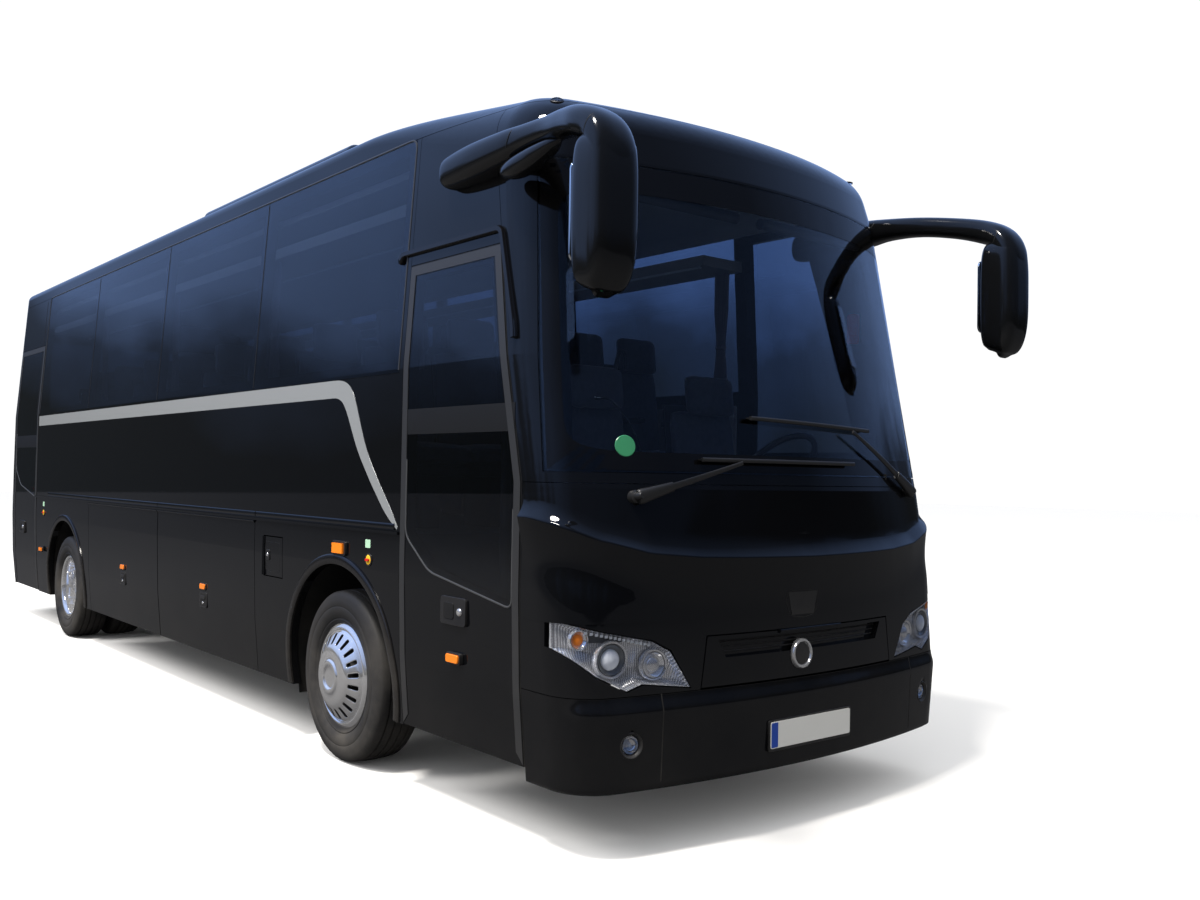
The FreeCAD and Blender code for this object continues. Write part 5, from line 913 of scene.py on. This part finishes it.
for side, label in SIDES:
    arm, head = ([(x, side * y, *rest) for x, y, *rest in table] for table in (MIRROR_ARM, MIRROR_HEAD))
    arm = swept_form("mirror_arm_" + label, arm, ACROSS, 40, 6, 2.6, mirror_black)
    swept_form("mirror_head_" + label, head, ACROSS, 40, 6, 4.2, mirror_black)
    if side < 0:
        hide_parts("mirrors")
    rounded_plate("mirror_glass_" + label, (4.6655, side * 1.298 - 0.080, 2.22),
                  (4.6755, side * 1.298 + 0.080, 2.58), 0, 0.03, mirror_glass)
    for number, (x, y, z, wide, thick) in enumerate(MIRROR_JOINTS):
        rim = [(x + 2 * shift, side * y, z - shift, wide, thick) for shift in (-0.001, 0.001)]
        swept_form(f"mirror_joint_{label}_{number + 1}", rim, ACROSS, 40, 2, 2.6, rubber_black)
swept_form("kerb_mirror", KERB_FAIRING, ACROSS, 32, 6, 2.2, mirror_black)


# ------------------------------------------------------------------- wipers
# Two long wipers parked low: a moulded cover on each pivot, a flat sprung
# arm that tapers, and a slim blade with a thin rubber along the glass.
def front_run(start, end, count, first, last):
    """Stations along the front surface between two (y, z) places, each end with its rise and half sizes."""
    line = cut_line([(*start, *first), (*end, *last)], lambda reach: count)
    return [(*front_place(front_skin, y, z, rise), wide, thick) for y, z, rise, wide, thick in line]


AHEAD = Vector((1.0, 0.0, 0.0))
WIPER_PIVOT = ((0.0, 0.052), (0.012, 0.052), (0.016, 0.046), (0.018, 0.020), (0.026, 0.014), (0.028, -0.010))
wiper_black = dusty_finish("wiper_black", (0.014, 0.014, 0.015), 0.42, 0.22, 1.4, 220.0, 0.06)
for label, pivot, arm_end, blade_from, blade_to in (
        ("right", (-0.897, 1.389), (-0.418, 1.531), (-0.602, 1.541), (0.309, 1.541)),
        ("left", (0.885, 1.416), (0.321, 1.688), (0.478, 1.698), (-0.334, 1.720))):
    joint = [a + (b - a) * 0.30 for a, b in zip(pivot, arm_end)]
    stations = front_run(pivot, joint, 3, (0.030, 0.020, 0.030), (0.034, 0.013, 0.019))
    boot = swept_form("wiper_cover_" + label, [(*stations[0][:3], 0.010, 0.014)] + stations, AHEAD, 24, 4,
                      2.6, wiper_black)
    if label == "right":
        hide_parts("wipers")
    for part, start, end, count, first, last, round_by, material in (
            ("arm", joint, arm_end, 8, (0.036, 0.006, 0.014), (0.044, 0.004, 0.008), 16, wiper_black),
            ("blade", blade_from, blade_to, 12, (0.030, 0.009, 0.009), (0.030, 0.009, 0.009), 16,
             wiper_black),
            ("rubber", blade_from, blade_to, 12, (0.014, 0.011, 0.003), (0.014, 0.011, 0.003), 12,
             rubber_black)):
        swept_form(f"wiper_{part}_{label}", front_run(start, end, count, first, last), AHEAD, round_by, 3,
                   3.0, material)
    turned_piece("wiper_pivot_" + label, WIPER_PIVOT, front_place(front_skin, *pivot), (1, 0, 0.15), 32,
                 wiper_black)


# ------------------------------------------------------ lamps at side and rear
# Amber turn and marker lamps on the sides, red clusters at the rear with
# round lenses in bright rims.
def lamp_lens_finish():
    """Moulded lens plastic, red on the tail and amber on the sides, with fine ribs under its face."""
    material, tree, shader = new_material("lamp_lens")
    ahead_of_tail = stretched(tree, split(tree, located(tree))["X"], -4.6, -4.5)
    tint = mixed(tree, ahead_of_tail, (0.45, 0.008, 0.010, 1.0), (0.95, 0.24, 0.01, 1.0))
    ribs = place_group(tree, surface_ripple, Scale=260.0, Depth=0.3)
    dust = place_group(tree, road_dust, Color=tint, Gloss=0.12, Amount=0.10, Top=1.3)
    feed(tree, shader, {"Base Color": dust["Color"], "Roughness": dust["Roughness"],
                        "Normal": ribs["Normal"]})
    return material


TAIL_RIM = ((0.050, 0.001), (0.052, 0.006), (0.058, 0.007), (0.062, 0.000))
TAIL_LENS = ((0.0, 0.011), (0.020, 0.010), (0.038, 0.007), (0.050, 0.001))
lamp_lens = lamp_lens_finish()
dress(lamp_lens, "rear_and_side_lamps")
tail_skin = surface_of("rear_and_side_lamps")
for side, label in SIDES:
    for number, (z, material) in enumerate(((0.875, glow_white), (1.02, lamp_lens), (1.165, amber_lens))):
        spot, out = hit(tail_skin, (-5.4, side * 1.005, z), (1, 0, 0)), (-1, side * 0.2, 0)
        turned_piece(f"tail_rim_{label}_{number + 1}", TAIL_RIM, spot, out, 40, chrome)
        turned_piece(f"tail_lens_{label}_{number + 1}", TAIL_LENS, spot, out, 40, material)
    near, far = sorted((side * 1.2, side * 1.212))
    for name, x, z, long, tall in (("turn_base", 2.615, 1.084, 0.142, 0.074),
                                   ("marker_base", -3.325, 0.710, 0.100, 0.046)):
        rounded_plate(f"{name}_{label}", (x - long / 2, near, z - tall / 2),
                      (x + long / 2, far, z + tall / 2), 1, 0.014, black_plastic)


# ------------------------------------------------------- fittings on the sides
# Marker lamps and sunk locks on the luggage flaps, the service hatch's lock,
# a release cock with its label by each door, and rails along the waist.
def side_plate(name, side, x, z, long, tall, inner, outer, round_by, material, body="root", bevel=0.0015):
    """A flat rounded piece standing between two depths off a side wall's outer face."""
    low, high = sorted(on_side(side, x, z, depth)[1] for depth in (inner, outer))
    rounded_plate(name, (x - long / 2, low, z - tall / 2), (x + long / 2, high, z + tall / 2), 1, round_by,
                  material, body, bevel)


label_green = dusty_finish("label_green", (0.45, 0.72, 0.52), 0.35, 0.10, 1.4, 200.0, 0.05)
cock_red = dusty_finish("cock_red", (0.62, 0.02, 0.01), 0.25, 0.10, 1.4, 200.0, 0.05)
cock_yellow = dusty_finish("cock_yellow", (0.80, 0.48, 0.02), 0.30, 0.10, 1.4, 200.0, 0.05)
for side, label in SIDES:
    for number, x in ((1, 0.715), (2, -0.945)):
        flap = f"flap_{label}_{number}"
        side_plate(flap + "_marker_base", side, x, 0.724, 0.098, 0.046, -0.002, 0.005, 0.012, black_plastic,
                   flap)
        side_plate(flap + "_marker", side, x, 0.724, 0.084, 0.034, 0.004, 0.012, 0.010, amber_lens, flap,
                   0.003)
        side_plate(flap + "_lock_frame", side, x, 0.640, 0.124, 0.098, -0.002, 0.004, 0.014, black_plastic,
                   flap)
        side_plate(flap + "_lock_cup", side, x, 0.640, 0.100, 0.076, 0.0038, 0.0046, 0.010, rubber_black,
                   flap, 0.0003)
        side_plate(flap + "_lock_grip", side, x, 0.656, 0.080, 0.022, 0.0042, 0.009, 0.006, black_plastic,
                   flap)
        turned_piece(flap + "_lock_barrel", ((0.0, 0.005), (0.007, 0.005), (0.009, 0.003), (0.010, 0.0)),
                     on_side(side, x, 0.620, 0.004), (0, side, 0), 20, steel_bright, flap)
hatch = [(1.787, 0.905), (1.690, 0.905), (1.690, 1.065), (1.884, 1.065), (1.884, 0.905), (1.787, 0.905)]
rail_on_side("service_hatch_seam", round_corners(hatch, 0.022), -1, 0.004, 0.0006, rubber_black,
             "service_hatch")
side_plate("service_hatch_lock", -1, 1.728, 0.992, 0.046, 0.060, -0.002, 0.004, 0.010, black_plastic,
           "service_hatch")
turned_piece("service_hatch_barrel", ((0.0, 0.004), (0.008, 0.004), (0.010, 0.002), (0.011, 0.0)),
             on_side(-1, 1.728, 0.992, 0.004), (0, -1, 0), 24, steel_bright, "service_hatch")
for name, x in (("front", 2.915), ("rear", -3.300)):
    side_plate("release_label_" + name, -1, x - 0.012, 1.122, 0.050, 0.040, 0.0002, 0.0012, 0.004,
               label_green, bevel=0.0002)
    side_plate("release_cup_" + name, -1, x, 1.045, 0.064, 0.064, -0.002, 0.004, 0.030, black_plastic)
    turned_piece("release_disc_" + name, ((0.0, 0.002), (0.020, 0.002), (0.024, 0.0)),
                 on_side(-1, x, 1.045, 0.004), (0, -1, 0), 32, cock_yellow)
    side_plate("release_grip_" + name, -1, x, 1.045, 0.034, 0.013, 0.005, 0.014, 0.006, cock_red)
for side, label in SIDES:
    for number, (start, end) in enumerate(((1.55, 3.16), (-0.15, 1.54), (-1.86, -0.16), (-3.16, -1.87))):
        rail = [(x, 1.215) for x in spread(start, end, 4)]
        rail_on_side(f"waist_rail_{label}_{number + 1}", rail, side, 0.030, 0.006, black_paint)


# ------------------------------------------------------------------ interior
# Seen through the glass: rows of paired coach seats in dark cloth, guide and
# driver seats, racks with a pale lining, tied curtains, dashboard and blinds.
def soft_pad(mesh, low, high, lean, cells, rounding, puff=0.0, channels=()):
    """A filled pad: a rounded block that swells in the middle and is drawn in along stitched channels."""
    middle = (Vector(low) + Vector(high)) / 2
    half = (Vector(high) - Vector(low)) / 2
    flat = min(range(3), key=lambda axis: half[axis])
    first, second = [k for k in range(3) if k != flat]

    def formed(*unit):
        """Where a point of a plain cube comes to lie on the pad."""
        inner = Vector([max(rounding - size, min(size - rounding, share * size)) for size,
                        share in zip(half, unit)])
        outer = Vector([share * size for size, share in zip(half, unit)]) - inner
        place = inner + outer.normalized() * rounding
        swell = (1 - unit[first] ** 2) * (1 - unit[second] ** 2)
        stitch = sum(math.exp(-((unit[first] - channel) / 0.06) ** 2) for channel in channels)
        place[flat] += unit[flat] * (puff * (swell - 1.0) - 0.006 * stitch)
        place += middle
        place.x += lean * (place.z - low[2])
        return place

    steps = spread(-1.0, 1.0, cells)
    for sign in (-1.0, 1.0):
        for grid in ([[formed(sign, a, b) for b in steps] for a in steps],
                     [[formed(a, sign, b) for b in steps] for a in steps],
                     [[formed(a, b, sign) for b in steps] for a in steps]):
            loft(grid, closed=False, mesh=mesh)


def seat_cloth_finish():
    """Woven coach cloth: dark blue-grey with a small woven check and soft sheen."""
    material, tree, shader = new_material("seat_cloth")
    place = located(tree)
    weave = add_node(tree, "TexChecker", {"Scale": 160.0, "Color1": (0.035, 0.040, 0.055, 1.0),
                                          "Color2": (0.055, 0.060, 0.080, 1.0), "Vector": place}).outputs
    tint = mixed(tree, noise(tree, place, Scale=38.0), weave["Color"], (0.09, 0.10, 0.14, 1.0))
    bump = add_node(tree, "Bump", {"Strength": 0.4, "Distance": 0.001, "Height": weave["Fac"]})
    feed(tree, shader, {"Base Color": tint, "Roughness": 0.85, "Sheen Weight": 0.3,
                        "Normal": bump.outputs["Normal"]})
    return material


def curtain_cloth_finish():
    """Fine grey-lavender cloth with a close weave."""
    material, tree, shader = new_material("curtain_cloth")
    tint = mixed(tree, noise(tree, located(tree), Scale=420.0), (0.20, 0.19, 0.25, 1.0),
                 (0.33, 0.32, 0.40, 1.0))
    feed(tree, shader, {"Base Color": tint, "Roughness": 0.9, "Sheen Weight": 0.2})
    return material


def hang_curtain(name, x, y, low, high, tie, width):
    """A pleated curtain gathered on its rail and drawn in by a tie."""
    grid = []
    for z in spread(high, low, 40):
        drawn = 0.55 + 0.45 * min(1.0, (abs(z - tie) / 0.22)) ** 1.3
        line = []
        for share in spread(0.0, 1.0, 72):
            drift = 0.8 + 0.2 * math.sin(9 * share + 3 * z)
            fold = drift * math.sin(12 * math.pi * share + 0.5 * math.sin(5 * z))
            line.append((x + width * drawn * (share - 0.5), y + 0.0165 * (0.6 + 0.4 * drawn) * fold, z))
        grid.append(line)
    return make_piece(name, loft(grid, closed=False), curtain_cloth, smooth=80.0)


SEAT_PITCH, SEAT_WIDE, BACK_LEAN = 0.76, 0.43, -0.135
CURTAIN_PLACES = ((-3.675, 1.07), (-1.965, -1.07), (-1.965, 1.07), (-0.255, -1.07), (-0.255, 1.07),
                  (1.455, -1.07),
                  (1.455, 1.07), (3.06, 1.04), (3.06, -1.04))
seat_cloth = seat_cloth_finish()
curtain_cloth = curtain_cloth_finish()
liner_grey = dusty_finish("liner_grey", (0.42, 0.42, 0.43), 0.70, 0.05, 1.4, 60.0, 0.12, specular=0.3)
cabin_plastic = dusty_finish("cabin_plastic", (0.035, 0.036, 0.040), 0.55, 0.05, 1.2, 240.0, 0.15,
                             specular=0.35)
floor_cover = dusty_finish("floor_cover", (0.06, 0.065, 0.075), 0.60, 0.20, 1.3, 120.0, 0.10)
disc_green = dusty_finish("disc_green", (0.03, 0.22, 0.10), 0.3, 0.05, 1.4, 200.0, 0.02)
pads, shells = bmesh.new(), bmesh.new()
seat_spots = [(2.37 - SEAT_PITCH * row, low, 1.18, SEAT_WIDE) for row in range(8)
              for low in (-1.04, -0.61, 0.18, 0.61)]
seat_spots += [(-3.71, 0.18, 1.18, SEAT_WIDE), (-3.71, 0.61, 1.18, SEAT_WIDE), (3.22, -0.44, 0.88, 0.48),
               (3.22, 0.38, 0.88, 0.48)]
for x, low_y, base, wide in seat_spots:
    left, right = low_y + 0.010, low_y + wide - 0.010
    for near, far, inset, low, high, lean, rounding, puff, channels in (
            (0.17, 0.568, 0.0, 0.31, 0.449, 0.0, 0.035, 0.020, (0.0,)),
            (0.122, 0.222, 0.0, 0.40, 0.95, BACK_LEAN, 0.040, 0.018, (0.0,)),
            (0.140, 0.225, 0.055, 0.93, 1.145, BACK_LEAN, 0.038, 0.010, ())):
        soft_pad(pads, (x + near, left + inset, base + low), (x + far, right - inset, base + high), lean, 7,
                 rounding, puff, channels)
    for near, far, inset, low, high, lean, rounding in (
            (0.104, 0.124, 0.008, 0.33, 0.99, BACK_LEAN, 0.009), (0.20, 0.555, 0.012, 0.27, 0.33, 0.0, 0.015),
            (0.22, 0.48, 0.14, 0.002, 0.28, 0.0, 0.012)):
        soft_pad(shells, (x + near, left + inset, base + low), (x + far, right - inset, base + high), lean, 3,
                 rounding)
    for edge in (left + 0.012, right - 0.012):
        soft_pad(shells, (x + 0.20, edge - 0.012, base + 0.60), (x + 0.47, edge + 0.012, base + 0.635), 0.0,
                 3, 0.010)
for mesh in (pads, shells):
    bmesh.ops.remove_doubles(mesh, verts=mesh.verts, dist=1e-5)
seat_pads = make_piece("seat_cushions", pads, seat_cloth, smooth=60.0)
make_piece("seat_frames", shells, cabin_plastic, smooth=50.0)
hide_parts("seats")
for number, (x, y) in enumerate(CURTAIN_PLACES):
    curtain = hang_curtain(f"curtain_{number + 1}", x, y, 1.965, 2.695, 2.25, 0.118)
    if number == 0:
        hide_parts("curtains")
    swept_form(f"curtain_tie_{number + 1}", [(x, y, z, 0.040, 0.0195) for z in (2.24, 2.26)], AHEAD, 24, 2,
               2.2, curtain_cloth)
dress(liner_grey, "parcel_racks")
dress(cabin_plastic, "dashboard")
dress(floor_cover, "floor", "entry_steps")
lining = [[(x, 1.06 * math.cos(turn), 2.90 + 0.13 * math.sin(turn) ** 0.6) for x in (-4.45, 4.02)]
          for turn in spread(0.0, math.pi, 24)]
make_piece("ceiling_lining", loft(lining, closed=False), liner_grey, smooth=60.0)
for (side, label), rear in zip(SIDES, (-3.54, -4.44)):
    light = [(x, side * 0.776, 2.690, 0.012, 0.007) for x in (rear, 3.14)]
    swept_form("rack_light_" + label, light, ACROSS, 16, 2, 3.0, glow_white)
    near, far = sorted((side * 1.085, side * 1.105))
    rounded_plate("wall_lining_" + label, (rear, near, 1.20), (3.14, far, 1.90), 1, 0.01, liner_grey)
    roller = [(4.235, side * y, 2.655, 0.026, 0.026) for y in (0.08, 0.80)]
    swept_form("blind_roller_" + label, roller, AHEAD, 24, 2, 2.0, cabin_plastic)
for number, y in enumerate((-0.41, 0.01)):
    handle = [(x, y, z, 0.011, 0.011) for x, z in ((3.30, 1.93), (3.30, 2.04), (3.33, 2.12), (3.37, 2.10),
                                                   (3.38, 2.02))]
    swept_form(f"guide_handle_{number + 1}", handle, ACROSS, 16, 5, 2.0, black_plastic)
stem = [(4.25, -0.62, 1.40, 0.006, 0.006), (4.24, -0.66, 1.62, 0.005, 0.005),
        (4.17, -0.74, 1.78, 0.005, 0.005),
        (4.08, -0.76, 1.80, 0.010, 0.010)]
swept_form("microphone_stem", stem, ACROSS, 12, 6, 2.0, black_plastic)
rounded_plate("hammer_holder", (3.98, 1.06, 2.20), (4.04, 1.09, 2.36), 1, 0.012, cock_red)
sticker, facing, face, reach = screen_skin.find_nearest(skin_point(screen_skin, -39.6, 1.588))
turned_piece("green_disc", ((0.0, 0.0030), (0.041, 0.0026), (0.044, 0.0)), sticker, facing, 48, disc_green)


# --------------------------------------------------------------- underbody
# Under the floor: painted chassis rails and bars, axles, brakes and steel
# knuckles, rubber air springs, the engine, and plastic wheel housings.
chassis_black = dusty_finish("chassis_black", (0.018, 0.018, 0.019), 0.50, 0.55, 1.1, 60.0, 0.15)
cast_steel = dusty_finish("cast_steel", (0.10, 0.10, 0.10), 0.45, 0.55, 1.1, 90.0, 0.35, metallic=0.7)
engine_metal = dusty_finish("engine_metal", (0.16, 0.16, 0.165), 0.45, 0.45, 1.4, 70.0, 0.40, metallic=0.5)
dress(chassis_black, "frame_rails", "frame_bars", "front_door_arm", "rear_door_arm", "luggage_bay")
dress(cast_steel, "front_axle", "rear_axle", "knuckle_left", "knuckle_right")
dress(engine_metal, "engine")
dress(rubber_black, "air_springs", "wheel_housings")


# --------------------------------------------------------------- roof and tail
# The air-conditioning pod on the roof with its grilles, corner lamps over
# the windscreen, and the louvres of the engine lid.
pod_skin, roof_skin = surface_of("roof_unit"), surface_of("roof")
grille = bmesh.new()
for number in range(26):
    for side, label in SIDES:
        place = hit(pod_skin, (0.15 + 0.06 * number, side * 0.52, 4.0), (0, 0, -1))
        add_block(grille, place + Vector((0, 0, 0.0005)), (0.022, 0.40, 0.004))
make_piece("roof_unit_grille", grille, black_plastic, bevel=0.001)
for side, label in SIDES:
    spot, facing, face, reach = roof_skin.find_nearest(Vector((4.076, side * 0.993, 3.001)))
    for name, rows, material in (
            ("base", ((0.030, -0.004), (0.030, 0.002), (0.026, 0.004)), black_plastic),
            ("lens", ((0.0, 0.012), (0.012, 0.011), (0.022, 0.007), (0.027, 0.002)), clear_lens)):
        turned_piece(f"roof_lamp_{name}_{label}", rows, spot, facing, 32, material)
louvres = bmesh.new()
for row in range(12):
    z = 0.82 + 0.045 * row
    for column in range(16):
        place = hit(tail_body_skin, (-5.6, -0.60 + 0.08 * column, z), (1, 0, 0))
        for vertex in add_block(louvres, place + Vector((0.001, 0, 0)), (0.012, 0.0802, 0.022)):
            vertex.co.x += 0.006 * (1 if vertex.co.z > z else -1)
make_piece("engine_lid_louvres", louvres, black_plastic, "engine_lid", bevel=0.0008)
